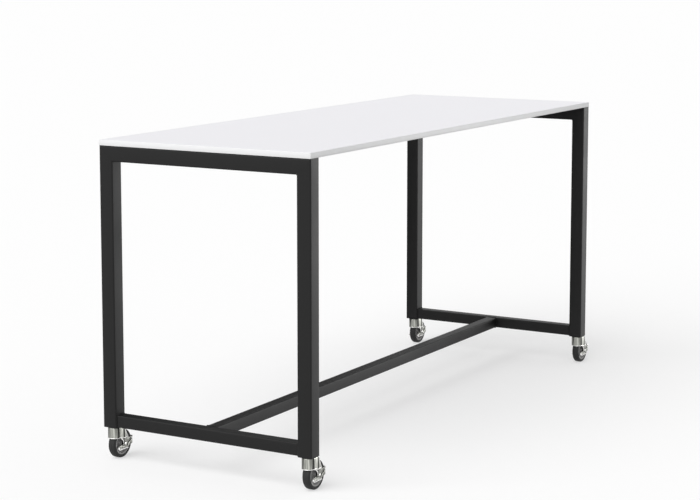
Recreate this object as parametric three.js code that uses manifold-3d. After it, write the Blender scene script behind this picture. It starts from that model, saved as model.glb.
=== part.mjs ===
// Standing meeting table: a laminate top on two closed steel end frames, rolling on braked castors.
// Millimetres, +Z up. The origin is on the floor under the centre of the top.
// +X runs along the length of the top and -Y is its front long side.
import * as THREE from 'three';
import { mergeVertices } from 'three/addons/utils/BufferGeometryUtils.js';
import Module from 'manifold-3d';

const wasm = await Module();
wasm.setup();

// Whole table
const TABLE_LENGTH = 2100;
const TABLE_WIDTH = 780;
const TABLE_HEIGHT = 1035;

// Top board and its edging
const TOP_THICKNESS = 18;
const EDGE_BAND_THICKNESS = 2;

// Steel tubes: posts and top rails share one section, lower and support rails another
const POST_SIZE = 50;
const POST_WALL = 2;
const POST_CORNER_RADIUS = 5;
const RAIL_SIZE = 40;
const RAIL_WALL = 2;
const RAIL_CORNER_RADIUS = 4;
const SUPPORT_RAIL_SPACING = 260;
const WELD_GAP = 0.3;

// Tabs and screws that hold the top down
const TAB_WIDTH = 40;
const TAB_REACH = 28;
const TAB_THICKNESS = 3;
const TAB_HOLE_INSET = 15;
const TAB_FROM_POST = 80;
const SCREW_SHANK_DIAMETER = 4.5;
const SCREW_BITE = 13;
const SCREW_HEAD_DIAMETER = 10;
const SCREW_HEAD_HEIGHT = 3.5;
const SCREW_CLEARANCE = 0.4;

// Plug in the foot of each post
const PLUG_FLANGE = 2;
const PLUG_DEPTH = 24;
const PLUG_CLEARANCE = 0.4;

// Castor stem and swivel race
const STEM_DIAMETER = 12;
const STEM_THREAD_LENGTH = 30;
const STEM_CLEARANCE = 0.4;
const STEM_HEAD_DIAMETER = 20;
const STEM_HEAD_HEIGHT = 3;
const RACE_DIAMETER = 34;
const RACE_HEIGHT = 1;
const SWIVEL_GAP = 0.5;

// Wheel
const WHEEL_DIAMETER = 94;
const TYRE_WIDTH = 26;
const TYRE_THICKNESS = 10;
const TYRE_SHOULDER_RADIUS = 6;
const TYRE_BOND_GAP = 0.3;
const RIM_INSET = 1;
const RIM_THICKNESS = 4;
const WEB_THICKNESS = 10;
const WEB_FLARE = 3;
const HUB_DIAMETER = 18;
const HUB_FLARE = 3;
const AXLE_DIAMETER = 8;
const AXLE_HEAD_DIAMETER = 13;
const AXLE_HEAD_HEIGHT = 2.5;
const RUNNING_CLEARANCE = 0.1;
const PIN_CLEARANCE = 0.15;

// Fork with its hood, its side shape measured from the axle
const FORK_SHEET = 2.5;
const FORK_SIDE_CLEARANCE = 5.5;
const CROWN_CLEARANCE = 10;
const FRONT_CLEARANCE = 5;
const SKIRT_DEPTH = 36.5;
const CHEEK_TOP_AHEAD = 1.5;
const CHEEK_TOP_RADIUS = 14;
const CHEEK_FOOT_BEHIND = 15;
const CHEEK_FOOT_RISE = 18;
const CHEEK_FOOT_RADIUS = 4;
const LEG_ROOT_AHEAD = 25;
const LEG_KNEE_AHEAD = 9.5;
const LEG_KNEE_RISE = 10;
const LEG_STRUT_WIDTH = 4.5;
const LEG_WINDOW_LENGTH = 8.5;
const LEG_WINDOW_WIDTH = 9;
const AXLE_EYE_RADIUS = 7;

// Brake lever, its side shape measured from the axle
const LEVER_SHEET = 2;
const LEVER_TYRE_CLEARANCE = 1;
const LEVER_HUB_GAP = 0.4;
const LEVER_TOP_RISE = 14;
const THROAT_RADIUS = 13;
const THROAT_AHEAD = 20;
const THROAT_RISE = 7;
const NOSE_REACH = 33;
const NOSE_DROP = 8;
const FOOT_DROP = 17;
const FOOT_CHAMFER = 4;
const FOOT_BEHIND = 15;
const FOOT_FLANGE_WIDTH = 6;
const SLOT_WIDTH = 4.5;
const SLOT_FOOT_BEHIND = 16;
const SLOT_FOOT_DROP = 12.5;
const SLOT_BEND_BEHIND = 24;
const SLOT_BEND_DROP = 1.5;
const SLOT_REAR_BEHIND = 40;
const SLOT_REAR_RISE = 6;
const TAIL_BEND_BEHIND = 33;
const TAIL_BEND_DROP = 11.5;
const TAIL_DROP = 6;
const STRAP_TYRE_GAP = 2.5;
const STRAP_CORNER_RADIUS = 9;
const TREAD_REACH = 3;

// How finely round shapes are cut
const CORNER_STEPS = 3;
const ARC_STEPS = 8;
const WHEEL_STEPS = 24;
const PIN_STEPS = 16;
const CUT_MARGIN = 5;

// Finishes
const POWDER_COAT = { color: 0x2c2c2d, roughness: 0.55, metalness: 0.2 };
const LAMINATE = { color: 0xecebf0, roughness: 0.45, metalness: 0 };
const EDGING = { color: 0xf2f2f2, roughness: 0.5, metalness: 0 };
const ZINC = { color: 0xb9b9b2, roughness: 0.3, metalness: 1 };
const SCREW_STEEL = { color: 0x8d8d8a, roughness: 0.35, metalness: 1 };
const RUBBER = { color: 0x232323, roughness: 0.75, metalness: 0 };
const WHEEL_PLASTIC = { color: 0x7d7d7d, roughness: 0.5, metalness: 0 };
const PLUG_PLASTIC = { color: 0x161616, roughness: 0.6, metalness: 0 };

// Heights that follow from the sizes above
const WHEEL_RADIUS = WHEEL_DIAMETER / 2;
const HOOD_TOP = WHEEL_DIAMETER + CROWN_CLEARANCE + FORK_SHEET;
const SKIRT_BOTTOM = HOOD_TOP - SKIRT_DEPTH;
const RACE_BOTTOM = HOOD_TOP + SWIVEL_GAP;
const PLUG_BOTTOM = RACE_BOTTOM + RACE_HEIGHT;
const POST_BOTTOM = PLUG_BOTTOM + PLUG_FLANGE;
const TOP_UNDERSIDE = TABLE_HEIGHT - TOP_THICKNESS;
const TOP_RAIL_CENTRE = TOP_UNDERSIDE - POST_SIZE / 2;
const LOWER_RAIL_CENTRE = POST_BOTTOM + RAIL_SIZE / 2;
const SUPPORT_RAIL_CENTRE = TOP_UNDERSIDE - RAIL_SIZE / 2;

// Plan places that follow from the sizes above
const FRAME_X = (TABLE_LENGTH - POST_SIZE) / 2;
const POST_Y = (TABLE_WIDTH - POST_SIZE) / 2;
const POST_INNER_Y = TABLE_WIDTH / 2 - POST_SIZE;
const FRAME_INNER_X = TABLE_LENGTH / 2 - POST_SIZE;
const SUPPORT_RAIL_Y = SUPPORT_RAIL_SPACING / 2;

// Fork widths, and how far the axle trails behind the stem
const FORK_INNER = TYRE_WIDTH / 2 + FORK_SIDE_CLEARANCE;
const FORK_OUTER = FORK_INNER + FORK_SHEET;
const SKIRT_ABOVE_AXLE = SKIRT_BOTTOM - WHEEL_RADIUS;
const TYRE_AT_SKIRT = Math.sqrt(WHEEL_RADIUS ** 2 - SKIRT_ABOVE_AXLE ** 2);
const TRAIL = TYRE_AT_SKIRT - FORK_INNER + FRONT_CLEARANCE;
const LEVER_INNER = TYRE_WIDTH / 2 + LEVER_TYRE_CLEARANCE;
const LEVER_OUTER = LEVER_INNER + LEVER_SHEET;
const STRAP_INNER = WHEEL_RADIUS + STRAP_TYRE_GAP;
const STRAP_OUTER = STRAP_INNER + LEVER_SHEET;

// Solid from a closed geometry
function solidOf(geometry) {
  const bare = geometry.clone();
  bare.deleteAttribute('normal');
  bare.deleteAttribute('uv');
  const merged = mergeVertices(bare);
  const vertProperties = new Float32Array(merged.attributes.position.array);
  const triVerts = new Uint32Array(merged.index.array);
  return new wasm.Manifold(new wasm.Mesh({ numProp: 3, vertProperties, triVerts }));
}

// Geometry from a solid
function geometryOf(solid) {
  const mesh = solid.getMesh();
  const geometry = new THREE.BufferGeometry();
  geometry.setAttribute('position', new THREE.BufferAttribute(mesh.vertProperties, 3));
  geometry.setIndex(new THREE.BufferAttribute(mesh.triVerts, 1));
  geometry.computeVertexNormals();
  return geometry;
}

// Points along an arc from one angle to another
function arcPoints(x, y, radius, from, to, steps) {
  const points = [];
  for (let i = 0; i <= steps; i += 1) {
    const angle = from + ((to - from) * i) / steps;
    points.push(new THREE.Vector2(x + radius * Math.cos(angle), y + radius * Math.sin(angle)));
  }
  return points;
}

// Arc that rounds off the corner between two straight sides
function roundCorner(before, corner, after, radius, steps) {
  const toBefore = before.clone().sub(corner).normalize();
  const toAfter = after.clone().sub(corner).normalize();
  const half = Math.acos(toBefore.dot(toAfter)) / 2;
  const middle = toBefore.clone().add(toAfter).normalize();
  const centre = corner.clone().addScaledVector(middle, radius / Math.sin(half));
  const turn = Math.sign(toBefore.cross(toAfter)) * (Math.PI - 2 * half);
  const from = corner.clone().addScaledVector(toBefore, radius / Math.tan(half)).sub(centre).angle();
  return arcPoints(centre.x, centre.y, radius, from, from - turn, steps);
}

// Outline of a strip of even width along a path
function stripOutline(path, width) {
  const normals = path.slice(1).map((point, i) => {
    const along = point.clone().sub(path[i]).normalize();
    return new THREE.Vector2(-along.y, along.x);
  });
  const offsets = path.map((point, i) => {
    const before = normals[Math.max(i - 1, 0)];
    const after = normals[Math.min(i, normals.length - 1)];
    return before.clone().add(after).multiplyScalar(width / 2 / (1 + before.dot(after)));
  });
  const left = path.map((point, i) => point.clone().add(offsets[i]));
  const right = path.map((point, i) => point.clone().sub(offsets[i]));
  return [...left, ...right.toReversed()];
}

// Outline of a square with rounded corners, centred on zero
function roundedSquare(size, radius) {
  const reach = size / 2 - radius;
  const points = [];
  [[1, 1], [-1, 1], [-1, -1], [1, -1]].forEach(([x, y], corner) => {
    const start = (corner * Math.PI) / 2;
    points.push(...arcPoints(x * reach, y * reach, radius, start, start + Math.PI / 2, CORNER_STEPS));
  });
  return points;
}

// Prism of an outline, centred on its length along Z
function prism(points, length, holes = []) {
  const shape = new THREE.Shape(points);
  holes.forEach((hole) => shape.holes.push(new THREE.Path(hole)));
  const geometry = new THREE.ExtrudeGeometry(shape, { depth: length, bevelEnabled: false });
  return geometry.translate(0, 0, -length / 2);
}

// Prism of an outline drawn in X and Z, centred on its width along Y
function sidePrism(points, width) {
  return prism(points, width).rotateX(Math.PI / 2);
}

// Square tube with rounded corners, lying along Z
function squareTube(size, wall, radius, length) {
  const bore = roundedSquare(size - 2 * wall, Math.max(radius - wall, wall / 2));
  return prism(roundedSquare(size, radius), length, [bore]);
}

// Turned piece about Y from a closed outline of radius and height, with a flat facet facing down
function turned(outline, steps) {
  const points = outline.map(([radius, height]) => new THREE.Vector2(radius, height));
  return new THREE.LatheGeometry([...points, points[0]], steps, Math.PI / steps);
}

// Turned piece about Z
function turnedUpright(outline, steps) {
  return turned(outline, steps).rotateX(Math.PI / 2);
}

// Plain pin between two heights, ending on the axis
function pinOutline(radius, bottom, top) {
  return [[0, bottom], [radius, bottom], [radius, top], [0, top]];
}

// Point where a line from a place touches a circle, on the chosen side
function tangentPoint(from, centre, radius, side) {
  const gap = new THREE.Vector2().subVectors(from, centre);
  const angle = gap.angle() + side * Math.acos(radius / gap.length());
  return new THREE.Vector2(centre.x + radius * Math.cos(angle), centre.y + radius * Math.sin(angle));
}

// Adds a named piece to a group
function addPiece(group, name, geometry, finish, x = 0, y = 0, z = 0) {
  const mesh = new THREE.Mesh(geometry, new THREE.MeshStandardMaterial(finish));
  mesh.name = name;
  mesh.position.set(x, y, z);
  group.add(mesh);
}

const SIDES = [{ name: 'left', sign: -1 }, { name: 'right', sign: 1 }];
const FACES = [{ name: 'front', sign: -1 }, { name: 'back', sign: 1 }];
const CORNERS = SIDES.flatMap((side) => FACES.map((face) => ({
  name: `${side.name}_${face.name}`,
  x: side.sign * FRAME_X,
  y: face.sign * POST_Y,
  side: side.sign,
  face: face.sign,
})));

// Tab places: two on each top rail, and one on the outer face of each support rail
const TABS = [
  ...CORNERS.map((corner) => ({
    name: corner.name,
    x: corner.side * (FRAME_INNER_X - WELD_GAP),
    y: corner.face * (POST_INNER_Y - TAB_FROM_POST),
    turn: corner.side > 0 ? Math.PI : 0,
  })),
  ...FACES.map((face) => ({
    name: `middle_${face.name}`,
    x: 0,
    y: face.sign * (SUPPORT_RAIL_Y + RAIL_SIZE / 2 + WELD_GAP),
    turn: (face.sign * Math.PI) / 2,
  })),
].map((tab) => ({
  ...tab,
  screwX: tab.x + TAB_HOLE_INSET * Math.cos(tab.turn),
  screwY: tab.y + TAB_HOLE_INSET * Math.sin(tab.turn),
}));

// Top board with a blind pilot hole over each tab
function buildTop(table) {
  const length = TABLE_LENGTH - 2 * EDGE_BAND_THICKNESS;
  const width = TABLE_WIDTH - 2 * EDGE_BAND_THICKNESS;
  const middle = TABLE_HEIGHT - TOP_THICKNESS / 2;
  const pilotRadius = SCREW_SHANK_DIAMETER / 2 + SCREW_CLEARANCE;
  const pilotTop = SCREW_BITE + SCREW_CLEARANCE - TOP_THICKNESS / 2;
  const pilot = turnedUpright(pinOutline(pilotRadius, -TOP_THICKNESS / 2 - CUT_MARGIN, pilotTop), PIN_STEPS);
  let board = solidOf(new THREE.BoxGeometry(length, width, TOP_THICKNESS));
  TABS.forEach((tab) => {
    board = board.subtract(solidOf(pilot.clone().translate(tab.screwX, tab.screwY, 0)));
  });
  addPiece(table, 'top_board', geometryOf(board), LAMINATE, 0, 0, middle);
  FACES.forEach((face) => {
    const band = new THREE.BoxGeometry(TABLE_LENGTH, EDGE_BAND_THICKNESS, TOP_THICKNESS);
    const y = face.sign * (TABLE_WIDTH - EDGE_BAND_THICKNESS) / 2;
    addPiece(table, `edge_band_${face.name}`, band, EDGING, 0, y, middle);
  });
  SIDES.forEach((side) => {
    const band = new THREE.BoxGeometry(EDGE_BAND_THICKNESS, width, TOP_THICKNESS);
    const x = side.sign * (TABLE_LENGTH - EDGE_BAND_THICKNESS) / 2;
    addPiece(table, `edge_band_${side.name}`, band, EDGING, x, 0, middle);
  });
}

// Posts and top rails, mitred into each other at the top corners
function buildEndFrames(table) {
  const postLength = TOP_UNDERSIDE - POST_BOTTOM;
  const slip = WELD_GAP / Math.SQRT2;
  const half = POST_SIZE / 2 + CUT_MARGIN;
  const postTube = squareTube(POST_SIZE, POST_WALL, POST_CORNER_RADIUS, postLength);
  const postTop = postLength / 2;
  FACES.forEach((face) => {
    const keep = [
      new THREE.Vector2(-face.sign * half, -postTop - CUT_MARGIN),
      new THREE.Vector2(face.sign * half, -postTop - CUT_MARGIN),
      new THREE.Vector2(face.sign * half, postTop + CUT_MARGIN - slip),
      new THREE.Vector2(-face.sign * half, postTop - POST_SIZE - CUT_MARGIN - slip),
    ];
    const wedge = prism(face.sign > 0 ? keep : keep.toReversed(), POST_SIZE + 2 * CUT_MARGIN);
    wedge.rotateX(Math.PI / 2).rotateZ(Math.PI / 2);
    const post = geometryOf(solidOf(postTube).intersect(solidOf(wedge)));
    CORNERS.filter((corner) => corner.face === face.sign).forEach((corner) => {
      const z = POST_BOTTOM + postTop;
      addPiece(table, `post_${corner.name}`, post.clone(), POWDER_COAT, corner.x, corner.y, z);
    });
  });
  const railTube = squareTube(POST_SIZE, POST_WALL, POST_CORNER_RADIUS, TABLE_WIDTH).rotateX(Math.PI / 2);
  const longHalf = TABLE_WIDTH / 2 + CUT_MARGIN - slip;
  const shortHalf = TABLE_WIDTH / 2 - POST_SIZE - CUT_MARGIN - slip;
  const trapezium = [
    new THREE.Vector2(-shortHalf, -half),
    new THREE.Vector2(shortHalf, -half),
    new THREE.Vector2(longHalf, half),
    new THREE.Vector2(-longHalf, half),
  ];
  const keep = prism(trapezium, POST_SIZE + 2 * CUT_MARGIN).rotateX(Math.PI / 2).rotateZ(Math.PI / 2);
  const rail = geometryOf(solidOf(railTube).intersect(solidOf(keep)));
  SIDES.forEach((side) => {
    const x = side.sign * FRAME_X;
    addPiece(table, `top_rail_${side.name}`, rail.clone(), POWDER_COAT, x, 0, TOP_RAIL_CENTRE);
  });
}

// Lower rails, the stretcher between them and the rails under the top, all butted and welded
function buildRails(table) {
  const section = [RAIL_SIZE, RAIL_WALL, RAIL_CORNER_RADIUS];
  const lowerLength = 2 * (POST_INNER_Y - WELD_GAP);
  const stretcherLength = 2 * (FRAME_X - RAIL_SIZE / 2 - WELD_GAP);
  const supportLength = 2 * (FRAME_INNER_X - WELD_GAP);
  SIDES.forEach((side) => {
    const rail = squareTube(...section, lowerLength).rotateX(Math.PI / 2);
    const x = side.sign * FRAME_X;
    addPiece(table, `bottom_rail_${side.name}`, rail, POWDER_COAT, x, 0, LOWER_RAIL_CENTRE);
  });
  const stretcher = squareTube(...section, stretcherLength).rotateY(Math.PI / 2);
  addPiece(table, 'lower_stretcher', stretcher, POWDER_COAT, 0, 0, LOWER_RAIL_CENTRE);
  FACES.forEach((face) => {
    const rail = squareTube(...section, supportLength).rotateY(Math.PI / 2);
    const y = face.sign * SUPPORT_RAIL_Y;
    addPiece(table, `support_rail_${face.name}`, rail, POWDER_COAT, 0, y, SUPPORT_RAIL_CENTRE);
  });
}

// Fixing tabs welded to the rails, and the screws that go up through them
function buildFixings(table) {
  const shankRadius = SCREW_SHANK_DIAMETER / 2;
  const hole = turnedUpright(
    pinOutline(shankRadius + SCREW_CLEARANCE, -TAB_THICKNESS - CUT_MARGIN, CUT_MARGIN),
    PIN_STEPS,
  ).translate(TAB_HOLE_INSET, 0, 0);
  const plate = new THREE.BoxGeometry(TAB_REACH, TAB_WIDTH, TAB_THICKNESS);
  plate.translate(TAB_REACH / 2, 0, -TAB_THICKNESS / 2);
  const tabShape = geometryOf(solidOf(plate).subtract(solidOf(hole)));
  const headTop = -TAB_THICKNESS - WELD_GAP;
  const headBottom = headTop - SCREW_HEAD_HEIGHT;
  const screwShape = turnedUpright([
    [0, headBottom],
    [SCREW_HEAD_DIAMETER / 2 - SCREW_HEAD_HEIGHT / 2, headBottom],
    [SCREW_HEAD_DIAMETER / 2, headBottom + SCREW_HEAD_HEIGHT / 2],
    [SCREW_HEAD_DIAMETER / 2, headTop],
    [shankRadius, headTop],
    [shankRadius, SCREW_BITE - shankRadius],
    [0, SCREW_BITE],
  ], PIN_STEPS);
  TABS.forEach((tab) => {
    const top = TOP_UNDERSIDE - WELD_GAP;
    const turnedTab = tabShape.clone().rotateZ(tab.turn);
    const screw = screwShape.clone();
    addPiece(table, `fixing_tab_${tab.name}`, turnedTab, POWDER_COAT, tab.x, tab.y, top);
    addPiece(table, `fixing_screw_${tab.name}`, screw, SCREW_STEEL, tab.screwX, tab.screwY, top);
  });
}

// Plastic plug that closes a post's foot and takes the castor stem
function plugGeometry() {
  const bore = POST_SIZE - 2 * POST_WALL - 2 * PLUG_CLEARANCE;
  const corner = Math.max(POST_CORNER_RADIUS - POST_WALL, POST_WALL / 2);
  const flange = prism(roundedSquare(POST_SIZE, POST_CORNER_RADIUS), PLUG_FLANGE);
  const body = prism(roundedSquare(bore, corner), PLUG_DEPTH + PLUG_FLANGE / 2);
  flange.translate(0, 0, PLUG_FLANGE / 2);
  body.translate(0, 0, (PLUG_DEPTH + PLUG_FLANGE / 2) / 2 + PLUG_FLANGE / 2);
  const holeRadius = STEM_DIAMETER / 2 + STEM_CLEARANCE;
  const holeTop = PLUG_DEPTH + PLUG_FLANGE + CUT_MARGIN;
  const hole = turnedUpright(pinOutline(holeRadius, -CUT_MARGIN, holeTop), PIN_STEPS);
  return geometryOf(solidOf(flange).add(solidOf(body)).subtract(solidOf(hole)));
}

// Stem that screws into the plug, with the peened head that carries the fork
function stemGeometry() {
  const radius = STEM_DIAMETER / 2;
  const headTop = HOOD_TOP - FORK_SHEET - SWIVEL_GAP;
  const headBottom = headTop - STEM_HEAD_HEIGHT;
  const top = PLUG_BOTTOM + STEM_THREAD_LENGTH;
  return turnedUpright([
    [0, headBottom],
    [STEM_HEAD_DIAMETER / 2, headBottom],
    [STEM_HEAD_DIAMETER / 2, headTop],
    [radius, headTop],
    [radius, top],
    [0, top],
  ], PIN_STEPS);
}

// Upper race that the hood turns under
function raceGeometry() {
  const bore = STEM_DIAMETER / 2 + STEM_CLEARANCE;
  const outer = RACE_DIAMETER / 2;
  const chamfer = RACE_HEIGHT / 4;
  return turnedUpright([
    [bore, RACE_BOTTOM],
    [outer - chamfer, RACE_BOTTOM],
    [outer, RACE_BOTTOM + chamfer],
    [outer, PLUG_BOTTOM],
    [bore, PLUG_BOTTOM],
  ], WHEEL_STEPS);
}

// Plan outline of the hood: a half round front and straight cheeks running back
function hoodOutline(radius, rear) {
  const front = arcPoints(0, 0, radius, Math.PI / 2, (3 * Math.PI) / 2, 2 * ARC_STEPS);
  return [new THREE.Vector2(rear, radius), ...front, new THREE.Vector2(rear, -radius)];
}

// Place in a castor's side view, measured from the axle
function fromAxle(behind, rise) {
  return new THREE.Vector2(TRAIL + behind, WHEEL_RADIUS + rise);
}

// Side outline of the fork: skirt, legs down to the axle eyes, leaning rear edge with round corners
function forkSideOutline() {
  const axle = fromAxle(0, 0);
  const front = -FORK_OUTER - CUT_MARGIN;
  const hoodFront = new THREE.Vector2(front, HOOD_TOP);
  const legRoot = fromAxle(-LEG_ROOT_AHEAD, SKIRT_ABOVE_AXLE);
  const knee = fromAxle(-LEG_KNEE_AHEAD, LEG_KNEE_RISE);
  const cheekFoot = fromAxle(CHEEK_FOOT_BEHIND, CHEEK_FOOT_RISE);
  const cheekTop = new THREE.Vector2(TRAIL - CHEEK_TOP_AHEAD, HOOD_TOP);
  const eyeFront = tangentPoint(knee, axle, AXLE_EYE_RADIUS, 1);
  const eyeRear = tangentPoint(cheekFoot, axle, AXLE_EYE_RADIUS, -1);
  const from = eyeFront.clone().sub(axle).angle();
  const sweep = THREE.MathUtils.euclideanModulo(eyeRear.clone().sub(axle).angle() - from, 2 * Math.PI);
  return [
    new THREE.Vector2(front, SKIRT_BOTTOM),
    legRoot,
    knee,
    ...arcPoints(axle.x, axle.y, AXLE_EYE_RADIUS, from, from + sweep, ARC_STEPS),
    ...roundCorner(eyeRear, cheekFoot, cheekTop, CHEEK_FOOT_RADIUS, CORNER_STEPS),
    ...roundCorner(cheekFoot, cheekTop, hoodFront, CHEEK_TOP_RADIUS, ARC_STEPS),
    hoodFront,
  ];
}

// Three-sided window behind the front strut of each leg
function legWindowOutline() {
  const legRoot = fromAxle(-LEG_ROOT_AHEAD, SKIRT_ABOVE_AXLE);
  const knee = fromAxle(-LEG_KNEE_AHEAD, LEG_KNEE_RISE);
  const along = knee.clone().sub(legRoot).normalize();
  const inward = new THREE.Vector2(-along.y, along.x);
  const lower = knee.clone().addScaledVector(inward, LEG_STRUT_WIDTH);
  const upper = lower.clone().addScaledVector(along, -LEG_WINDOW_LENGTH);
  return [lower, new THREE.Vector2(upper.x + LEG_WINDOW_WIDTH, upper.y), upper];
}

// Fork: hood, two legs and their holes in one pressing
function forkGeometry() {
  const rear = TRAIL + CHEEK_FOOT_BEHIND + CUT_MARGIN;
  const bottom = WHEEL_RADIUS - AXLE_EYE_RADIUS - CUT_MARGIN;
  const top = HOOD_TOP + CUT_MARGIN;
  const outer = prism(hoodOutline(FORK_OUTER, rear), top - bottom).translate(0, 0, (top + bottom) / 2);
  const hollowTop = HOOD_TOP - FORK_SHEET;
  const hollowBottom = bottom - CUT_MARGIN;
  const hollow = prism(hoodOutline(FORK_INNER, rear + CUT_MARGIN), hollowTop - hollowBottom);
  hollow.translate(0, 0, (hollowTop + hollowBottom) / 2);
  const side = sidePrism(forkSideOutline(), 2 * (FORK_OUTER + CUT_MARGIN));
  const windows = sidePrism(legWindowOutline(), 2 * (FORK_OUTER + CUT_MARGIN));
  const stemRadius = STEM_DIAMETER / 2 + STEM_CLEARANCE;
  const stemHole = turnedUpright(pinOutline(stemRadius, HOOD_TOP - FORK_SHEET - CUT_MARGIN, top), PIN_STEPS);
  const fork = solidOf(outer).subtract(solidOf(hollow)).intersect(solidOf(side));
  const axleHole = axleHoleGeometry().translate(TRAIL, 0, WHEEL_RADIUS);
  const pierced = fork.subtract(solidOf(stemHole)).subtract(solidOf(axleHole));
  return geometryOf(pierced.subtract(solidOf(windows)));
}

// Through hole for the axle, to cut with
function axleHoleGeometry() {
  const reach = FORK_OUTER + CUT_MARGIN;
  return turned(pinOutline(AXLE_DIAMETER / 2 + PIN_CLEARANCE, -reach, reach), PIN_STEPS);
}

// Riveted axle with a head outside each fork leg
function axleGeometry() {
  const radius = AXLE_DIAMETER / 2;
  const headRadius = AXLE_HEAD_DIAMETER / 2;
  const seat = FORK_OUTER + PIN_CLEARANCE;
  const end = seat + AXLE_HEAD_HEIGHT;
  return turned([
    [0, -end],
    [radius, -end],
    [headRadius, -seat - AXLE_HEAD_HEIGHT / 2],
    [headRadius, -seat],
    [radius, -seat],
    [radius, seat],
    [headRadius, seat],
    [headRadius, seat + AXLE_HEAD_HEIGHT / 2],
    [radius, end],
    [0, end],
  ], PIN_STEPS);
}

// Tyre with rounded shoulders, whose facets stand on the floor at the wheel radius
function tyreGeometry() {
  const facet = 1 / Math.cos(Math.PI / WHEEL_STEPS);
  const inner = WHEEL_RADIUS - TYRE_THICKNESS;
  const half = TYRE_WIDTH / 2;
  const reach = half - TYRE_SHOULDER_RADIUS;
  const crown = WHEEL_RADIUS - TYRE_SHOULDER_RADIUS;
  const lower = arcPoints(crown, -reach, TYRE_SHOULDER_RADIUS, -Math.PI / 2, 0, CORNER_STEPS);
  const upper = arcPoints(crown, reach, TYRE_SHOULDER_RADIUS, 0, Math.PI / 2, CORNER_STEPS);
  const round = [...lower, ...upper].map((point) => [point.x * facet, point.y]);
  return turned([[inner * facet, -half], ...round, [inner * facet, half]], WHEEL_STEPS);
}

// Wheel centre: rim, dished web and hub
function wheelCentreGeometry() {
  const facet = 1 / Math.cos(Math.PI / WHEEL_STEPS);
  const rim = WHEEL_RADIUS - TYRE_THICKNESS - TYRE_BOND_GAP;
  const rimHalf = TYRE_WIDTH / 2 - RIM_INSET;
  const hubHalf = LEVER_INNER - LEVER_HUB_GAP;
  const webHalf = WEB_THICKNESS / 2;
  const hub = HUB_DIAMETER / 2;
  const bore = AXLE_DIAMETER / 2 + RUNNING_CLEARANCE;
  const half = [
    [bore, hubHalf],
    [hub, hubHalf],
    [hub + HUB_FLARE, webHalf],
    [rim - RIM_THICKNESS - WEB_FLARE, webHalf],
    [rim - RIM_THICKNESS, rimHalf],
    [rim, rimHalf],
  ].map(([radius, height]) => [radius * facet, height]);
  const mirrored = half.map(([radius, height]) => [radius, -height]);
  return turned([...mirrored, ...half.toReversed()], WHEEL_STEPS);
}

// Plan outline of the lever's strap: straight sides and a rear with round corners
function strapOutline(front, half, rear, radius) {
  const reach = rear - radius;
  return [
    new THREE.Vector2(front, -half),
    ...arcPoints(reach, radius - half, radius, -Math.PI / 2, 0, CORNER_STEPS),
    ...arcPoints(reach, half - radius, radius, 0, Math.PI / 2, CORNER_STEPS),
    new THREE.Vector2(front, half),
  ];
}

// Side outline of the lever: round throat, nose, foot and a rear that runs past the strap
function leverSideOutline() {
  const rear = STRAP_OUTER + CUT_MARGIN;
  const throat = arcPoints(-THROAT_AHEAD, THROAT_RISE, THROAT_RADIUS, 0, -Math.PI / 2, ARC_STEPS);
  return [
    new THREE.Vector2(THROAT_RADIUS - THROAT_AHEAD, LEVER_TOP_RISE),
    ...throat,
    new THREE.Vector2(-NOSE_REACH, -NOSE_DROP),
    new THREE.Vector2(-NOSE_REACH, FOOT_CHAMFER - FOOT_DROP),
    new THREE.Vector2(FOOT_CHAMFER - NOSE_REACH, -FOOT_DROP),
    new THREE.Vector2(FOOT_BEHIND, -FOOT_DROP),
    new THREE.Vector2(TAIL_BEND_BEHIND, -TAIL_BEND_DROP),
    new THREE.Vector2(rear, -TAIL_DROP),
    new THREE.Vector2(rear, LEVER_TOP_RISE),
  ];
}

// Slot between the lever's upper and lower tread, open at the rear
function leverSlotOutline() {
  return stripOutline([
    new THREE.Vector2(SLOT_FOOT_BEHIND, -SLOT_FOOT_DROP),
    new THREE.Vector2(SLOT_BEND_BEHIND, -SLOT_BEND_DROP),
    new THREE.Vector2(SLOT_REAR_BEHIND, SLOT_REAR_RISE),
    new THREE.Vector2(STRAP_OUTER + CUT_MARGIN, SLOT_REAR_RISE),
  ], SLOT_WIDTH);
}

// Flange turned out along the lever's nose and foot
function footFlangeOutline() {
  const inset = LEVER_SHEET / 2;
  const bend = inset * Math.tan(Math.PI / 8);
  return stripOutline([
    new THREE.Vector2(inset - NOSE_REACH, -NOSE_DROP),
    new THREE.Vector2(inset - NOSE_REACH, FOOT_CHAMFER - FOOT_DROP + bend),
    new THREE.Vector2(FOOT_CHAMFER - NOSE_REACH + bend, inset - FOOT_DROP),
    new THREE.Vector2(FOOT_BEHIND, inset - FOOT_DROP),
  ], LEVER_SHEET);
}

// Brake lever: a strap round the tyre cut to two treads behind, with a flanged foot and a tread lip
function brakeLeverGeometry() {
  const height = 2 * WHEEL_RADIUS;
  const front = -NOSE_REACH - CUT_MARGIN;
  const width = 2 * (LEVER_OUTER + FOOT_FLANGE_WIDTH);
  const innerRadius = STRAP_CORNER_RADIUS - LEVER_SHEET;
  const outer = prism(strapOutline(front, LEVER_OUTER, STRAP_OUTER, STRAP_CORNER_RADIUS), height);
  const hollow = prism(strapOutline(front - CUT_MARGIN, LEVER_INNER, STRAP_INNER, innerRadius), 2 * height);
  const lip = strapOutline(SLOT_REAR_BEHIND, LEVER_OUTER, STRAP_OUTER + TREAD_REACH, STRAP_CORNER_RADIUS);
  const tread = prism(lip, LEVER_SHEET).translate(0, 0, LEVER_TOP_RISE - LEVER_SHEET / 2);
  const side = solidOf(sidePrism(leverSideOutline(), width));
  const slot = solidOf(sidePrism(leverSlotOutline(), width));
  const flange = solidOf(sidePrism(footFlangeOutline(), width));
  const strap = solidOf(outer).intersect(side).subtract(slot);
  const lever = strap.add(flange).add(solidOf(tread)).subtract(solidOf(hollow));
  return geometryOf(lever.subtract(solidOf(axleHoleGeometry())));
}

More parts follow.
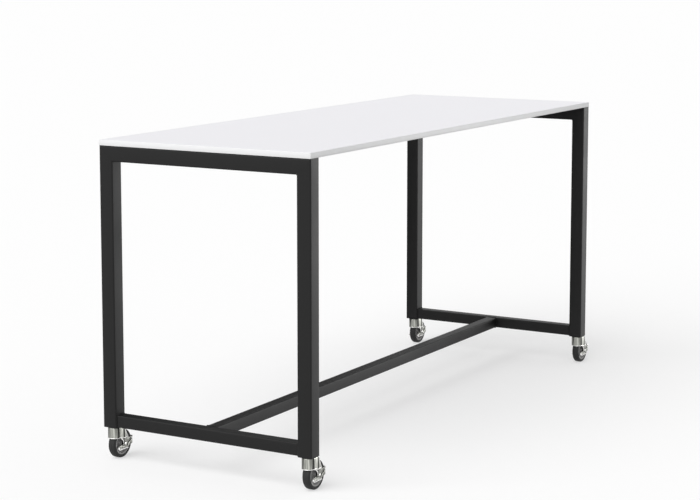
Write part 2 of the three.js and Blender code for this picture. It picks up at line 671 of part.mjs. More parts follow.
// One castor and its plug under each post, all trailing the same way
function buildCastors(table) {
  CORNERS.forEach((corner) => {
    const castor = new THREE.Group();
    castor.position.set(corner.x, corner.y, 0);
    table.add(castor);
    const { name } = corner;
    addPiece(castor, `post_plug_${name}`, plugGeometry(), PLUG_PLASTIC, 0, 0, PLUG_BOTTOM);
    addPiece(castor, `castor_stem_${name}`, stemGeometry(), ZINC);
    addPiece(castor, `castor_race_${name}`, raceGeometry(), ZINC);
    addPiece(castor, `castor_fork_${name}`, forkGeometry(), ZINC);
    addPiece(castor, `castor_axle_${name}`, axleGeometry(), ZINC, TRAIL, 0, WHEEL_RADIUS);
    addPiece(castor, `castor_tyre_${name}`, tyreGeometry(), RUBBER, TRAIL, 0, WHEEL_RADIUS);
    addPiece(castor, `wheel_centre_${name}`, wheelCentreGeometry(), WHEEL_PLASTIC, TRAIL, 0, WHEEL_RADIUS);
    addPiece(castor, `brake_lever_${name}`, brakeLeverGeometry(), ZINC, TRAIL, 0, WHEEL_RADIUS);
  });
}

const table = new THREE.Group();
buildTop(table);
buildEndFrames(table);
buildRails(table);
buildFixings(table);
buildCastors(table);

export default table;
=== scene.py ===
import logging
import math
from dataclasses import dataclass, field
from enum import Enum
from typing import Callable, Iterable, Sequence

import bmesh
import bpy
from mathutils import Matrix, Vector


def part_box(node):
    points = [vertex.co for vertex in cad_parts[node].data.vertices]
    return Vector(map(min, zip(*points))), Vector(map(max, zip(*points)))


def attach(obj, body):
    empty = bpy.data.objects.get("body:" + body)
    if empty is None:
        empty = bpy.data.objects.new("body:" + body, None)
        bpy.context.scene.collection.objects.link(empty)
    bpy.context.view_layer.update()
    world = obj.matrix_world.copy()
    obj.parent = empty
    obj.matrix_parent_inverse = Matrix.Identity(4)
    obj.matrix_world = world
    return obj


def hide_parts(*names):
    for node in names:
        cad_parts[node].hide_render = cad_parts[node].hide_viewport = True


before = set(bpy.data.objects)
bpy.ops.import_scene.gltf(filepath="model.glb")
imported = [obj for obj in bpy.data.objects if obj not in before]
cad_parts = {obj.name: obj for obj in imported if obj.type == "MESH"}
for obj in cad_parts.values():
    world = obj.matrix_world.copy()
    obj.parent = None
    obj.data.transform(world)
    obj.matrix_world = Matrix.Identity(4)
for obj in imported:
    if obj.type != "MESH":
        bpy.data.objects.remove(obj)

LOG = logging.getLogger("standing_table")
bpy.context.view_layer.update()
MM = 0.001
SMOOTH_LIMIT = math.radians(32)
SHARP_LIMIT = math.radians(45)
FLAT_LIMIT = math.radians(0.5)
MERGE_GAP = 1e-6
ROOT_BODY = "table_frame"
# The face attribute of painted light and shade: above zero a painted highlight on rims and edges, below zero painted
# shade.
PAINTED_LIGHT_AND_SHADE = "painted_light_and_shade"
OWN_PLACE = "own_place"
# Where the streak pattern starts, which also places its painted reflection bands.
STREAK_AND_REFLECTION_START = (43.8, 24.6, 0.0)

Point2 = tuple[float, float]
Profile = list[Point2]
Color = tuple[float, float, float, float]
BLACK: Color = (0.0, 0.0, 0.0, 1.0)
WHITE: Color = (1.0, 1.0, 1.0, 1.0)


class Corner(Enum):
    """The four feet of the table, named as the CAD bodies and nodes name them."""

    LEFT_FRONT = "left_front"
    LEFT_BACK = "left_back"
    RIGHT_FRONT = "right_front"
    RIGHT_BACK = "right_back"


class Axis(Enum):
    """The direction that a prism or a tube runs in."""

    X = 0
    Y = 1
    Z = 2


class Cut(Enum):
    """How one solid changes another."""

    TAKE_AWAY = "DIFFERENCE"
    KEEP_COMMON = "INTERSECT"
    ADD = "UNION"


# Shader node groups


def new_group(name: str, inputs: dict[str, tuple[str, object]], outputs: dict[str, str]) -> bpy.types.NodeTree:
    """Makes an empty shader node group with named sockets.

    Args:
        name: The group's name.
        inputs: Socket name to its socket type and default value.
        outputs: Socket name to its socket type.

    Returns:
        The node group, with its input and output nodes named Group Input and Group Output.
    """
    group = bpy.data.node_groups.new(name, "ShaderNodeTree")
    for socket_name, (kind, default) in inputs.items():
        socket = group.interface.new_socket(socket_name, in_out="INPUT", socket_type=kind)
        if default is not None:
            socket.default_value = default
    for socket_name, kind in outputs.items():
        group.interface.new_socket(socket_name, in_out="OUTPUT", socket_type=kind)
    group.nodes.new("NodeGroupInput")
    group.nodes.new("NodeGroupOutput")
    return group


def make_speckle_group() -> bpy.types.NodeTree:
    """Makes the group for fine surface grain: a tone, a roughness and a bump height.

    Returns:
        The node group, used by every moulded, coated and laminated finish.
    """
    group = new_group(
        "surface_grain",
        {
            "Vector": ("NodeSocketVector", None),
            "Dark": ("NodeSocketColor", BLACK),
            "Light": ("NodeSocketColor", WHITE),
            "Grain Scale": ("NodeSocketFloat", 900.0),
            "Cloud Scale": ("NodeSocketFloat", 5.0),
            "Roughness": ("NodeSocketFloat", 0.5),
            "Roughness Spread": ("NodeSocketFloat", 0.1),
            "Edge": ("NodeSocketFloat", 0.0),
            "Edge Color": ("NodeSocketColor", WHITE),
        },
        {"Color": "NodeSocketColor", "Roughness": "NodeSocketFloat", "Height": "NodeSocketFloat"},
    )
    nodes, links = group.nodes, group.links
    source, sink = nodes["Group Input"], nodes["Group Output"]
    grain = nodes.new("ShaderNodeTexNoise")
    grain.inputs["Detail"].default_value = 3.0
    cloud = nodes.new("ShaderNodeTexNoise")
    cloud.inputs["Detail"].default_value = 4.0
    blend = nodes.new("ShaderNodeMix")
    blend.inputs["Factor"].default_value = 0.45
    tone = nodes.new("ShaderNodeMix")
    tone.data_type = "RGBA"
    edged = nodes.new("ShaderNodeMix")
    edged.data_type = "RGBA"
    spread = nodes.new("ShaderNodeMath")
    spread.operation = "MULTIPLY_ADD"
    links.new(source.outputs["Vector"], grain.inputs["Vector"])
    links.new(source.outputs["Vector"], cloud.inputs["Vector"])
    links.new(source.outputs["Grain Scale"], grain.inputs["Scale"])
    links.new(source.outputs["Cloud Scale"], cloud.inputs["Scale"])
    links.new(grain.outputs["Fac"], blend.inputs["A"])
    links.new(cloud.outputs["Fac"], blend.inputs["B"])
    links.new(blend.outputs["Result"], tone.inputs["Factor"])
    links.new(source.outputs["Dark"], tone.inputs["A"])
    links.new(source.outputs["Light"], tone.inputs["B"])
    links.new(cloud.outputs["Fac"], spread.inputs[0])
    links.new(source.outputs["Roughness Spread"], spread.inputs[1])
    links.new(source.outputs["Roughness"], spread.inputs[2])
    # Faces marked above zero take the Edge Color: a painted highlight.
    links.new(source.outputs["Edge"], edged.inputs["Factor"])
    links.new(tone.outputs["Result"], edged.inputs["A"])
    links.new(source.outputs["Edge Color"], edged.inputs["B"])
    links.new(edged.outputs["Result"], sink.inputs["Color"])
    links.new(spread.outputs["Value"], sink.inputs["Roughness"])
    links.new(grain.outputs["Fac"], sink.inputs["Height"])
    return group


def make_streak_and_reflection_group() -> bpy.types.NodeTree:
    """Makes the group for drawn and plated metal: streaks that run one way and also stand in for reflected bands
    (painted reflection), with painted highlights and painted shade on marked faces over them.

    Returns:
        The node group, used by the plated finishes.
    """
    group = new_group(
        "plated_streaks_and_reflections",
        {
            "Vector": ("NodeSocketVector", None),
            "Dark": ("NodeSocketColor", BLACK),
            "Light": ("NodeSocketColor", WHITE),
            "Across": ("NodeSocketFloat", 260.0),
            "Along": ("NodeSocketFloat", 9.0),
            "Edge": ("NodeSocketFloat", 0.0),
            "Edge Color": ("NodeSocketColor", WHITE),
        },
        {"Color": "NodeSocketColor", "Roughness": "NodeSocketFloat", "Height": "NodeSocketFloat"},
    )
    nodes, links = group.nodes, group.links
    source, sink = nodes["Group Input"], nodes["Group Output"]
    stretch = nodes.new("ShaderNodeCombineXYZ")
    scaled = nodes.new("ShaderNodeVectorMath")
    scaled.operation = "MULTIPLY_ADD"
    scaled.inputs[2].default_value = STREAK_AND_REFLECTION_START
    # This noise gives the drawn streaks, and its bands also stand in for reflected light and shade: painted
    # reflection.
    streak_and_reflection = nodes.new("ShaderNodeTexNoise")
    streak_and_reflection.inputs["Scale"].default_value = 1.0
    streak_and_reflection.inputs["Detail"].default_value = 3.0
    contrast = nodes.new("ShaderNodeMapRange")
    contrast.inputs["From Min"].default_value = 0.39
    contrast.inputs["From Max"].default_value = 0.63
    tone = nodes.new("ShaderNodeMix")
    tone.data_type = "RGBA"
    edged = nodes.new("ShaderNodeMix")
    edged.data_type = "RGBA"
    # Faces marked below zero are mixed towards black: painted shade.
    below = nodes.new("ShaderNodeMath")
    below.operation = "MULTIPLY"
    below.inputs[1].default_value = -1.0
    painted_shade = nodes.new("ShaderNodeMix")
    painted_shade.data_type = "RGBA"
    painted_shade.inputs["B"].default_value = BLACK
    rough = nodes.new("ShaderNodeMapRange")
    rough.inputs["To Min"].default_value = 0.24
    rough.inputs["To Max"].default_value = 0.42
    links.new(source.outputs["Across"], stretch.inputs["X"])
    links.new(source.outputs["Across"], stretch.inputs["Y"])
    links.new(source.outputs["Along"], stretch.inputs["Z"])
    links.new(source.outputs["Vector"], scaled.inputs[0])
    links.new(stretch.outputs["Vector"], scaled.inputs[1])
    links.new(scaled.outputs["Vector"], streak_and_reflection.inputs["Vector"])
    links.new(streak_and_reflection.outputs["Fac"], contrast.inputs["Value"])
    links.new(contrast.outputs["Result"], tone.inputs["Factor"])
    links.new(source.outputs["Dark"], tone.inputs["A"])
    links.new(source.outputs["Light"], tone.inputs["B"])
    links.new(streak_and_reflection.outputs["Fac"], rough.inputs["Value"])
    # Faces marked above zero take the Edge Color: a painted highlight.
    links.new(source.outputs["Edge"], edged.inputs["Factor"])
    links.new(tone.outputs["Result"], edged.inputs["A"])
    links.new(source.outputs["Edge Color"], edged.inputs["B"])
    links.new(source.outputs["Edge"], below.inputs[0])
    links.new(below.outputs["Value"], painted_shade.inputs["Factor"])
    links.new(edged.outputs["Result"], painted_shade.inputs["A"])
    links.new(painted_shade.outputs["Result"], sink.inputs["Color"])
    links.new(rough.outputs["Result"], sink.inputs["Roughness"])
    links.new(streak_and_reflection.outputs["Fac"], sink.inputs["Height"])
    return group


# Finishes


def grey(value: float, warmth: float = 0.0) -> Color:
    """Gives a linear colour of that brightness, warmer above zero and cooler below."""
    return (value * (1 + warmth), value, value * (1 - warmth), 1.0)


def zinc_tone(value: float) -> Color:
    """Gives a linear colour of that brightness with the yellow-green cast of zinc plating."""
    return (value * 0.99, value, value * 0.92, 1.0)


@dataclass(frozen=True)
class GrainedFinish:
    """A moulded, coated or laminated finish with a fine grain.

    Attributes:
        name: The material's name.
        slot: The record's material slot; not used.
        dark: The darker tone of the grain.
        light: The lighter tone of the grain.
        grain_scale: How fine the grain is.
        bump: How deep the grain is, in metres.
        roughness: The least roughness.
        roughness_spread: How much the roughness varies.
        specular: The shader's specular level.
        edge: The tone of the painted highlight on marked rims and edges, or None where they look like the rest.
    """

    name: str
    slot: str
    dark: Color
    light: Color
    grain_scale: float
    bump: float
    roughness: float
    roughness_spread: float
    specular: float = 0.5
    edge: Color | None = None

    def make(self, group: bpy.types.NodeTree) -> bpy.types.Material:
        """Builds the material.

        Args:
            group: The surface grain node group.

        Returns:
            The material.
        """
        material, shader, coords = start_material(self.name)
        nodes, links = material.node_tree.nodes, material.node_tree.links
        grain = nodes.new("ShaderNodeGroup")
        grain.node_tree = group
        grain.inputs["Dark"].default_value = self.dark
        grain.inputs["Light"].default_value = self.light
        grain.inputs["Grain Scale"].default_value = self.grain_scale
        grain.inputs["Roughness"].default_value = self.roughness
        grain.inputs["Roughness Spread"].default_value = self.roughness_spread
        links.new(coords.outputs["Object"], grain.inputs["Vector"])
        if self.edge:
            add_edge_tone(material, grain, self.edge)
        links.new(grain.outputs["Color"], shader.inputs["Base Color"])
        links.new(grain.outputs["Roughness"], shader.inputs["Roughness"])
        add_bump(material, grain.outputs["Height"], shader, self.bump)
        shader.inputs["Specular IOR Level"].default_value = self.specular
        return material


@dataclass(frozen=True)
class PlatedFinish:
    """A plated steel finish with drawn streaks that also stand in for reflected bands: painted reflection.

    Attributes:
        name: The material's name.
        slot: The record's material slot; not used.
        dark: The streaks' darker tone, which is also the dark of the painted reflection.
        light: The streaks' lighter tone, which is also the light of the painted reflection.
        across: How fine the streaks and their painted reflection bands are.
        along: How slowly they change along their run.
        bump: How deep the streaks are, in metres.
        edge: The tone of the painted highlight on marked rims and edges.
        alike: Whether the streaks and their painted reflection bands follow the shape's own place, and so are alike
            on all copies of it.
    """

    name: str
    slot: str
    dark: Color
    light: Color
    across: float
    along: float
    bump: float
    edge: Color
    alike: bool = True

    def make(self, group: bpy.types.NodeTree) -> bpy.types.Material:
        """Builds the material.

        Args:
            group: The node group of plated streaks and painted reflection.

        Returns:
            The material.
        """
        material, shader, coords = start_material(self.name)
        nodes, links = material.node_tree.nodes, material.node_tree.links
        streaks_and_reflections = nodes.new("ShaderNodeGroup")
        streaks_and_reflections.node_tree = group
        streaks_and_reflections.inputs["Dark"].default_value = self.dark
        streaks_and_reflections.inputs["Light"].default_value = self.light
        streaks_and_reflections.inputs["Across"].default_value = self.across
        streaks_and_reflections.inputs["Along"].default_value = self.along
        where = coords.outputs["Object"]
        if self.alike:
            own = nodes.new("ShaderNodeAttribute")
            own.attribute_name = OWN_PLACE
            where = own.outputs["Vector"]
        links.new(where, streaks_and_reflections.inputs["Vector"])
        add_edge_tone(material, streaks_and_reflections, self.edge)
        links.new(streaks_and_reflections.outputs["Color"], shader.inputs["Base Color"])
        links.new(streaks_and_reflections.outputs["Roughness"], shader.inputs["Roughness"])
        add_bump(material, streaks_and_reflections.outputs["Height"], shader, self.bump)
        shader.inputs["Metallic"].default_value = 1.0
        return material


def start_material(name: str) -> tuple[bpy.types.Material, bpy.types.Node, bpy.types.Node]:
    """Makes a material with its shader and a texture coordinate node.

    Args:
        name: The material's name.

    Returns:
        The material, its Principled BSDF and its texture coordinate node.
    """
    material = bpy.data.materials.new(name)
    material.use_nodes = True
    shader = material.node_tree.nodes["Principled BSDF"]
    coords = material.node_tree.nodes.new("ShaderNodeTexCoord")
    return material, shader, coords


def add_edge_tone(
    material: bpy.types.Material, group: bpy.types.Node, tone: Color
) -> None:
    """Lets the faces marked with a painted highlight take their own tone.

    Args:
        material: The material.
        group: The node of the shared effect, which has the inputs Edge and Edge Color.
        tone: The painted highlight's tone.
    """
    mark = material.node_tree.nodes.new("ShaderNodeAttribute")
    mark.attribute_name = PAINTED_LIGHT_AND_SHADE
    group.inputs["Edge Color"].default_value = tone
    material.node_tree.links.new(mark.outputs["Fac"], group.inputs["Edge"])


def add_bump(
    material: bpy.types.Material, height: bpy.types.NodeSocket, shader: bpy.types.Node, depth: float
) -> None:
    """Feeds a height into a shader's normal.

    Args:
        material: The material.
        height: The output that gives the height.
        shader: The shader that takes the normal.
        depth: The bump's depth in metres.
    """
    bump = material.node_tree.nodes.new("ShaderNodeBump")
    bump.inputs["Distance"].default_value = depth
    material.node_tree.links.new(height, bump.inputs["Height"])
    material.node_tree.links.new(bump.outputs["Normal"], shader.inputs["Normal"])


POWDER_COAT = GrainedFinish(
    "black_powder_coat", "powder_coat", grey(0.002), grey(0.006), 1400.0, 0.00012, 0.46, 0.12, 0.27
)
LAMINATE = GrainedFinish(
    "white_laminate", "laminate", (0.785, 0.78, 0.81, 1.0), (0.815, 0.81, 0.84, 1.0), 2200.0, 0.00003, 0.42, 0.08, 0.3
)
EDGING = GrainedFinish(
    "white_edging", "edging", grey(0.83, -0.004), grey(0.87, -0.004), 1800.0, 0.00004, 0.4, 0.1, 0.35
)
PLUG_PLASTIC = GrainedFinish(
    "black_plug_plastic", "plug_plastic", grey(0.004), grey(0.01), 1100.0, 0.00008, 0.45, 0.15, 0.3
)
TYRE_RUBBER = GrainedFinish(
    "dark_tyre_rubber", "rubber", grey(0.012), grey(0.03), 700.0, 0.0001, 0.55, 0.2, 0.3
)
# The last tone is the painted highlight on the wheel centre's rim lip.
WHEEL_PLASTIC = GrainedFinish(
    "grey_wheel_plastic", "wheel_plastic", grey(0.3, 0.01), grey(0.38, 0.01), 900.0, 0.00006, 0.38, 0.14, 0.45,
    grey(0.42, 0.01),
)
# The bright zinc's streak tones also stand in for the bands of reflected light and shade on the hood: painted
# reflection.
ZINC = PlatedFinish(
    "bright_zinc", "zinc", zinc_tone(0.035), zinc_tone(0.64), 125.0, 7.0, 0.00002, grey(0.92, 0.01)
)
# The lever's zinc is a darker copy of the bright zinc: painted shade for the darker surroundings that its cheeks
# reflect.
SHADED_LEVER_ZINC = PlatedFinish(
    "shaded_lever_zinc", "zinc", zinc_tone(0.1), zinc_tone(0.33), 170.0, 7.0, 0.00002, grey(0.92, 0.01)
)
SCREW_ZINC = PlatedFinish(
    "screw_zinc", "screw_steel", grey(0.35, 0.02), grey(0.6, 0.02), 700.0, 60.0, 0.00001, grey(0.8, 0.01), False
)


@dataclass
class Finishes:
    """Every finish of the table, made once and looked up by its description."""

    made: dict[str, bpy.types.Material] = field(default_factory=dict)

    def build(self) -> None:
        """Builds all materials."""
        grain = make_speckle_group()
        streaks_and_reflections = make_streak_and_reflection_group()
        for finish in (POWDER_COAT, LAMINATE, EDGING, PLUG_PLASTIC, TYRE_RUBBER, WHEEL_PLASTIC):
            self.made[finish.name] = finish.make(grain)
        for finish in (ZINC, SHADED_LEVER_ZINC, SCREW_ZINC):
            self.made[finish.name] = finish.make(streaks_and_reflections)

    def of(self, finish: GrainedFinish | PlatedFinish) -> bpy.types.Material:
        """Gives a finish's material."""
        return self.made[finish.name]


# Mesh making


def arc(x: float, y: float, radius: float, start: float, end: float, steps: int) -> Profile:
    """Gives points along an arc.

    Args:
        x: The centre's first coordinate.
        y: The centre's second coordinate.
        radius: The arc's radius.
        start: The first angle, in radians.
        end: The last angle, in radians.
        steps: The number of steps between them.

    Returns:
        The points, both ends among them.
    """
    angles = [start + (end - start) * i / steps for i in range(steps + 1)]
    return [(x + radius * math.cos(a), y + radius * math.sin(a)) for a in angles]


def round_corner(before: Point2, corner: Point2, after: Point2, radius: float, steps: int) -> Profile:
    """Gives the arc that rounds off the corner between two straight sides.

    Args:
        before: A point on the side that comes to the corner.
        corner: The corner.
        after: A point on the side that leaves it.
        radius: The arc's radius.
        steps: The number of steps in the arc.

    Returns:
        The arc's points.
    """
    place = Vector(corner)
    back, on = (Vector(before) - place).normalized(), (Vector(after) - place).normalized()
    half = math.acos(back.dot(on)) / 2
    centre = place + (back + on).normalized() * (radius / math.sin(half))
    first = place + back * (radius / math.tan(half)) - centre
    start = math.atan2(first.y, first.x)
    turn = math.copysign(math.pi - 2 * half, -back.cross(on))
    return arc(centre.x, centre.y, radius, start, start + turn, steps)


def strip(path: Profile, width: float) -> Profile:
    """Gives the outline of a strip of even width along a path.

    Args:
        path: The path along the strip's middle.
        width: The strip's width.

    Returns:
        The outline, up one side and back along the other.
    """
    points = [Vector(point) for point in path]
    normals = [(far - near).normalized().orthogonal() for near, far in zip(points, points[1:])]
    left, right = [], []
    for i, point in enumerate(points):
        before, after = normals[max(i - 1, 0)], normals[min(i, len(normals) - 1)]
        offset = (before + after) * (width / 2 / (1 + before.dot(after)))
        left.append(tuple(point + offset))
        right.append(tuple(point - offset))
    return left + right[::-1]


def rounded_square(size: float, radius: float, steps: int = 8) -> Profile:
    """Gives the outline of a square with round corners, centred on zero.

    Args:
        size: The square's side.
        radius: The corners' radius.
        steps: The steps in each corner.

    Returns:
        The outline, anticlockwise.
    """
    reach = size / 2 - radius
    outline: Profile = []
    for turn, (x, y) in enumerate(((1, 1), (-1, 1), (-1, -1), (1, -1))):
        start = turn * math.pi / 2
        outline += arc(x * reach, y * reach, radius, start, start + math.pi / 2, steps)
    return outline


def placed(axis: Axis, u: float, v: float, along: float) -> Vector:
    """Gives the point of a section at a place along an axis; X and Y sections have v upright."""
    if axis is Axis.X:
        return Vector((along, u, v))
    if axis is Axis.Y:
        return Vector((u, along, v))
    return Vector((u, v, along))


def skin(bm: bmesh.types.BMesh, rings: Sequence[Sequence[bmesh.types.BMVert]], closed: bool) -> None:
    """Joins rings of vertices with quads.

    Args:
        bm: The mesh.
        rings: The rings, in order, all with as many vertices.
        closed: Whether the last ring joins the first.
    """
    pairs = list(zip(rings, rings[1:]))
    if closed:
        pairs.append((rings[-1], rings[0]))
    for near, far in pairs:
        count = len(near)
        for i in range(count):
            j = (i + 1) % count
            bm.faces.new((near[i], near[j], far[j], far[i]))


def prism(outline: Profile, axis: Axis, low: float, high: float) -> bmesh.types.BMesh:
    """Makes a closed prism of an outline.

    Args:
        outline: The outline's points.
        axis: The axis the prism runs along.
        low: Where it starts on the axis.
        high: Where it ends.

    Returns:
        The mesh.
    """
    bm = bmesh.new()
    rings = [[bm.verts.new(placed(axis, u, v, end)) for u, v in outline] for end in (low, high)]
    skin(bm, rings, False)
    for ring in rings:
        bm.faces.new(ring)
    bmesh.ops.recalc_face_normals(bm, faces=bm.faces)
    return bm


def turned(profile: Profile, axis: Axis, steps: int) -> bmesh.types.BMesh:
    """Turns a closed profile of radius and height about an axis through zero.

    Args:
        profile: Points of radius and height; points on the axis become poles.
        axis: The axis to turn about.
        steps: The steps in a full turn.

    Returns:
        The mesh.
    """
    bm = bmesh.new()
    rings = []
    for step in range(steps):
        angle = 2 * math.pi * step / steps
        ring = []
        for radius, height in profile:
            ring.append(bm.verts.new(placed(axis, radius * math.cos(angle), radius * math.sin(angle), height)))
        rings.append(ring)
    skin(bm, rings, True)
    bmesh.ops.remove_doubles(bm, verts=bm.verts, dist=MERGE_GAP)
    bmesh.ops.dissolve_degenerate(bm, edges=bm.edges, dist=MERGE_GAP / 10)
    bmesh.ops.recalc_face_normals(bm, faces=bm.faces)
    return bm


def round_bar(axis: Axis, radius: float, low: float, high: float) -> bmesh.types.BMesh:
    """Makes a plain round bar, used to cut holes."""
    return turned([(0, low), (radius, low), (radius, high), (0, high)], axis, 32)


def painted_light_and_shade_layer(bm: bmesh.types.BMesh) -> bmesh.types.BMLayerItem:
    """Gives the face layer of painted light and shade, above zero a painted highlight on an edge or rim and below
    zero painted shade, and makes it if it is missing.
    """
    return bm.faces.layers.float.get(PAINTED_LIGHT_AND_SHADE) or bm.faces.layers.float.new(PAINTED_LIGHT_AND_SHADE)


def highlight_cut_edges(bm: bmesh.types.BMesh, sheet: float) -> None:
    """Marks the narrow faces along a sheet's cut edges with a painted highlight.

    Args:
        bm: The mesh.
        sheet: The sheet's thickness.
    """
    painted_light_and_shade = painted_light_and_shade_layer(bm)
    for face in bm.faces:
        across = [abs(edge.calc_length() - sheet) < 0.1 * sheet for edge in face.edges]
        if len(across) == 4 and (across[0] and across[2] or across[1] and across[3]):
            face[painted_light_and_shade] = 1.0


def round_edges(bm: bmesh.types.BMesh, width: float, segments: int, limit: float = SMOOTH_LIMIT) -> None:
    """Rounds every edge that is sharper than a limit, and marks the rounded faces with a painted highlight.

    Args:
        bm: The mesh.
        width: The rounding's width.
        segments: How many steps it has.
        limit: The angle, in radians, above which an edge is rounded.
    """
    painted_light_and_shade = painted_light_and_shade_layer(bm)
    edges = [e for e in bm.edges if len(e.link_faces) == 2 and e.calc_face_angle(0) > limit]
    made = bmesh.ops.bevel(
        bm, geom=edges, offset=width, segments=segments, profile=0.5, affect="EDGES", clamp_overlap=True
    )
    # The rounded faces get a painted highlight, seen where the finish has an edge tone.
    for face in made["faces"]:
        face[painted_light_and_shade] = 1.0


def as_mesh(bm: bmesh.types.BMesh, name: str) -> bpy.types.Mesh:
    """Turns a bmesh into a mesh with smooth faces and sharp edges where it turns sharply.

    Args:
        bm: The bmesh, which is freed.
        name: The mesh's name.

    Returns:
        The mesh.
    """
    for face in bm.faces:
        face.smooth = True
    for edge in bm.edges:
        edge.smooth = len(edge.link_faces) == 2 and edge.calc_face_angle(0) < SMOOTH_LIMIT
    mesh = bpy.data.meshes.new(name)
    bm.to_mesh(mesh)
    bm.free()
    return mesh


def linked(data: bpy.types.ID, name: str) -> bpy.types.Object:
    """Puts a mesh, a light or a camera into the scene as an object at the origin."""
    obj = bpy.data.objects.new(name, data)
    bpy.context.scene.collection.objects.link(obj)
    return obj


def evaluated_mesh(obj: bpy.types.Object, name: str) -> bpy.types.Mesh:
    """Gives an object's mesh with its modifiers applied, and removes the object.

    Args:
        obj: The object.
        name: The new mesh's name.

    Returns:
        The plain mesh.
    """
    graph = bpy.context.evaluated_depsgraph_get()
    graph.update()
    mesh = bpy.data.meshes.new_from_object(obj.evaluated_get(graph))
    mesh.name = name
    bpy.data.objects.remove(obj)
    return mesh


def combined(base: bmesh.types.BMesh, steps: Iterable[tuple[Cut, bmesh.types.BMesh]]) -> bmesh.types.BMesh:
    """Cuts, trims or joins one solid with others, in order.

    Args:
        base: The solid to start from.
        steps: What to do, with which solid.

    Returns:
        The finished solid, with flat regions merged.
    """
    body = linked(as_mesh(base, "stock"), "stock")
    tools = []
    for cut, solid in steps:
        tool = linked(as_mesh(solid, "tool"), "tool")
        tools.append(tool)
        modifier = body.modifiers.new(cut.value, "BOOLEAN")
        modifier.operation = cut.value
        modifier.solver = "EXACT"
        modifier.object = tool
    mesh = evaluated_mesh(body, "worked")
    for tool in tools:
        bpy.data.objects.remove(tool)
    bm = bmesh.new()
    bm.from_mesh(mesh)
    bpy.data.meshes.remove(mesh)
    bmesh.ops.remove_doubles(bm, verts=bm.verts, dist=MERGE_GAP)
    bmesh.ops.dissolve_limit(bm, angle_limit=FLAT_LIMIT, verts=bm.verts, edges=bm.edges)
    bmesh.ops.recalc_face_normals(bm, faces=bm.faces)
    return bm


def finish_piece(
    mesh: bpy.types.Mesh,
    name: str,
    body: str,
    finish: GrainedFinish | PlatedFinish,
    finishes: Finishes,
    stands_for: Sequence[str] = (),
) -> None:
    """Puts a finished mesh on its body with its material.

    Args:
        mesh: The mesh, already in place.
        name: The piece's name.
        body: The CAD body it rides on.
        finish: Its finish.
        finishes: All finishes.
        stands_for: The CAD nodes it replaces.
    """
    mesh.materials.clear()
    mesh.materials.append(finishes.of(finish))
    piece = linked(mesh, name)
    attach(piece, body)
    if stands_for:
        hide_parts(*stands_for)
    LOG.info("%s: %d faces on %s", name, len(mesh.polygons), body)


# Geometry node trees


def new_tree(name: str, inputs: dict[str, tuple[str, object]]) -> bpy.types.NodeTree:
    """Makes an empty geometry node tree with a geometry input and output and named sizes.

    Args:
        name: The tree's name.
        inputs: Socket name to its socket type and default value.

    Returns:
        The tree.
    """
    tree = bpy.data.node_groups.new(name, "GeometryNodeTree")
    tree.interface.new_socket("Geometry", in_out="INPUT", socket_type="NodeSocketGeometry")
    for socket_name, (kind, default) in inputs.items():
        socket = tree.interface.new_socket(socket_name, in_out="INPUT", socket_type=kind)
        if default is not None:
            socket.default_value = default
    tree.interface.new_socket("Geometry", in_out="OUTPUT", socket_type="NodeSocketGeometry")
    tree.nodes.new("NodeGroupInput")
    tree.nodes.new("NodeGroupOutput")
    return tree


def end_tree(tree: bpy.types.NodeTree, instances: bpy.types.NodeSocket) -> None:
    """Ends a tree with real, smooth geometry in the input material.

    Args:
        tree: The tree, which has an input named Material.
        instances: The output that gives the instances.
    """
    nodes, links = tree.nodes, tree.links
    real = nodes.new("GeometryNodeRealizeInstances")
    smooth = nodes.new("GeometryNodeSetShadeSmooth")
    dress = nodes.new("GeometryNodeSetMaterial")
    links.new(instances, real.inputs["Geometry"])
    links.new(real.outputs["Geometry"], smooth.inputs["Geometry"])
    links.new(smooth.outputs["Geometry"], dress.inputs["Geometry"])
    links.new(nodes["Group Input"].outputs["Material"], dress.inputs["Material"])
    links.new(dress.outputs["Geometry"], nodes["Group Output"].inputs["Geometry"])


def run_tree(
    tree: bpy.types.NodeTree, mesh: bpy.types.Mesh, values: dict[str, object], name: str
) -> bpy.types.Mesh:
    """Runs a geometry node tree on a mesh and gives the plain result.

    Args:
        tree: The tree.
        mesh: The mesh that it starts from.
        values: Input name to value.
        name: The result's name.

    Returns:
        The result as a plain mesh.
    """
    carrier = linked(mesh, "carrier")
    modifier = carrier.modifiers.new(tree.name, "NODES")
    modifier.node_group = tree
    for item in tree.interface.items_tree:
        if item.in_out == "INPUT" and item.name in values:
            modifier[item.identifier] = values[item.name]
    return evaluated_mesh(carrier, name)


